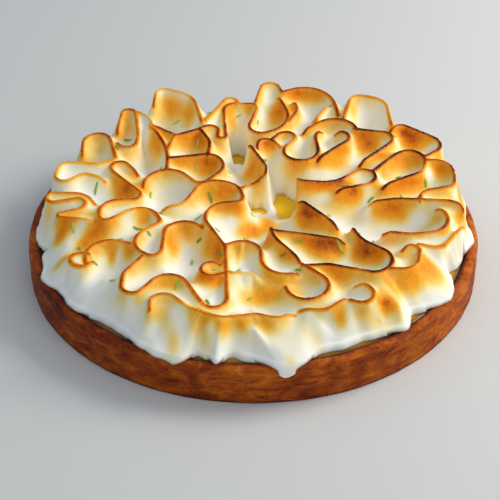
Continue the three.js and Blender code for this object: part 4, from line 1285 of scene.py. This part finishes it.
# %% [markdown]
# ## The curd
#
# Set lemon curd is smooth and glossy. Its disc fills the shell to just under the rim.

# %% Curd
CURD_EDGE = ((0, 0.5), (0.6, 0.12), (1.5, 0))   # how far inwards and down
CURD_SIDES = 256
CURD_COLOUR = (255, 205, 5)
# A ring of painted shade at the curd's edge, where the meringue and the rim shadow it, by share of the
# radius.
CURD_SHADE_RING = [(0.93, CURD_COLOUR), (0.975, (200, 145, 4)), (0.995, (120, 70, 4))]

curd_profile = [(CURD_RADIUS, curd_low[2] / MM)]
curd_profile += [(CURD_RADIUS - inwards_by, CURD_TOP - down_by) for inwards_by, down_by in CURD_EDGE]
curd = spun("lemon_curd_filling", curd_profile, CURD_SIDES)


def curd_material():
    """Bright and glossy, with painted shade darkening a ring at its edge, where the meringue and the rim
    shadow it.
    """
    material, tree, shader = new_material("lemon_curd", roughness=0.25, colour=linear(*CURD_COLOUR))
    out = node(tree, "ShaderNodeVectorMath", operation="LENGTH")
    tree.links.new(stretched(tree, (1.0, 1.0, 0.0)), out.inputs[0])
    share = worked_out(tree, "MULTIPLY", out.outputs["Value"], 1000 / CURD_RADIUS)
    tree.links.new(ramp(tree, share, CURD_SHADE_RING), shader.inputs["Base Color"])
    return material


curd.data.materials.append(curd_material())
bpy.ops.object.shade_smooth_by_angle(angle=SMOOTH_BELOW)
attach(curd, "root")
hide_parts("lemon_curd")
print("curd", len(curd.data.polygons), "faces")

# %% [markdown]
# ## Lime zest
#
# Shreds from a zester: short thin strips, a few millimetres long. One could be drawn as a
# curve, but a cube that is stretched and cut into stations is a closed strip at once. Each copy
# is bent, turned and laid on the meringue, and its sides follow the surface under them. The
# places come from a seeded rule: spread out, beside the crests and away from the bare curd.

# %% Places of the zest
ZEST_COUNT = 64
ZEST_WIDTH = 1.2
ZEST_THICKNESS = 0.9
ZEST_SUNK = 0.3
ZEST_LENGTH = (2.5, 5.0)
ZEST_APART = 10.0
ZEST_REACH = 98.0
ZEST_CLEAR = 2.2
ZEST_BEND = 1.6
ZEST_TRIES = 4000


def draw(index, channel):
    """A repeatable number from 0 to 1 for each whole number and channel."""
    s = math.sin(index * 12.9898 + channel * 78.233) * 43758.5453
    return s - math.floor(s)


def zest_places():
    """(x, y, length, heading, bend, tint) of each shred."""
    places = []
    i = 0
    while len(places) < ZEST_COUNT and i < ZEST_TRIES:
        i += 1
        x = (2 * draw(i, 1) - 1) * ZEST_REACH
        y = (2 * draw(i, 2) - 1) * ZEST_REACH
        if math.hypot(x, y) > ZEST_REACH:
            continue
        if any(math.hypot(p[0] - x, p[1] - y) < ZEST_APART for p in places):
            continue
        if crest_tree.find((x, y, 0))[2] < ZEST_CLEAR:
            continue
        if any(math.hypot(dip[0] - x, dip[1] - y) < dip[2] + ZEST_CLEAR for dip in DIPS):
            continue
        length = ZEST_LENGTH[0] + (ZEST_LENGTH[1] - ZEST_LENGTH[0]) * draw(i, 3)
        places.append((x, y, length, math.pi * draw(i, 4), (draw(i, 5) - 0.5) * ZEST_BEND, draw(i, 6)))
    return places


shreds = zest_places()
print(len(shreds), "shreds")

# %% [markdown]
# The surface under a shred is found by a ray straight down onto the meringue.

# %% Zest
STATIONS = 7
ZEST_SMOOTH_BELOW = math.radians(50)
END_NARROWER = 0.5
END_THINNER = 0.4
RAY_FROM = 0.1

bpy.ops.object.select_all(action="DESELECT")
bpy.ops.mesh.primitive_cube_add(size=1)
zest = start_piece("lime_zest")
bpy.ops.mesh.select_all(action="SELECT")
bpy.ops.transform.resize(value=(1, ZEST_WIDTH * MM, ZEST_THICKNESS * MM))
bpy.ops.object.mode_set(mode="OBJECT")
strip = bmesh.new()
strip.from_mesh(zest.data)
long_edges = [e for e in strip.edges if abs(e.verts[0].co.x - e.verts[1].co.x) > 0.5]
bmesh.ops.subdivide_edges(strip, edges=long_edges, cuts=STATIONS - 2, use_grid_fill=True)
strip.to_mesh(zest.data)
print("one shred has", len(zest.data.polygons), "faces")

bpy.context.view_layer.update()
surface = BVHTree.FromObject(meringue, bpy.context.evaluated_depsgraph_get())


def height_at(x, y):
    """Height of the meringue's top over a place, in millimetres."""
    hit = surface.ray_cast(Vector((x * MM, y * MM, RAY_FROM)), Vector((0, 0, -1)))[0]
    return hit.z / MM if hit else SHELL_HEIGHT


laid = bmesh.new()
tint_layer = laid.verts.layers.float.new("tint")
for x, y, length, heading, bend, tint in shreds:
    before = len(laid.verts)
    laid.from_mesh(zest.data)
    laid.verts.ensure_lookup_table()
    for vert in laid.verts[before:]:
        t = vert.co.x
        end = abs(2 * t) ** 3
        side = vert.co.y / MM * (1 - END_NARROWER * end)
        up = vert.co.z / MM * (1 - END_THINNER * end) + ZEST_THICKNESS / 2
        angle = heading + bend * t
        px = x + t * length * math.cos(heading + bend * t * 0.5)
        py = y + t * length * math.sin(heading + bend * t * 0.5)
        ground = height_at(px, py)
        px -= side * math.sin(angle)
        py += side * math.cos(angle)
        vert.co = Vector((px, py, ground - ZEST_SUNK + up)) * MM
        vert[tint_layer] = tint
laid.to_mesh(zest.data)
zest.data.update()
print("zest", len(zest.data.polygons), "faces")


ZEST_TINTS = [(0.0, (110, 150, 20)), (0.5, (150, 190, 50)), (1.0, (205, 225, 110))]


def zest_material():
    """Moist green peel, from yellow green to dark green, one tint for each shred."""
    material, tree, shader = new_material("lime_zest", roughness=0.45, colour=linear(135, 178, 45))
    tree.links.new(ramp(tree, attribute(tree, "tint"), ZEST_TINTS), shader.inputs["Base Color"])
    return material


zest.data.materials.append(zest_material())
select_only(zest)
bpy.ops.object.shade_smooth_by_angle(angle=ZEST_SMOOTH_BELOW)
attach(zest, "root")
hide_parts("meringue")
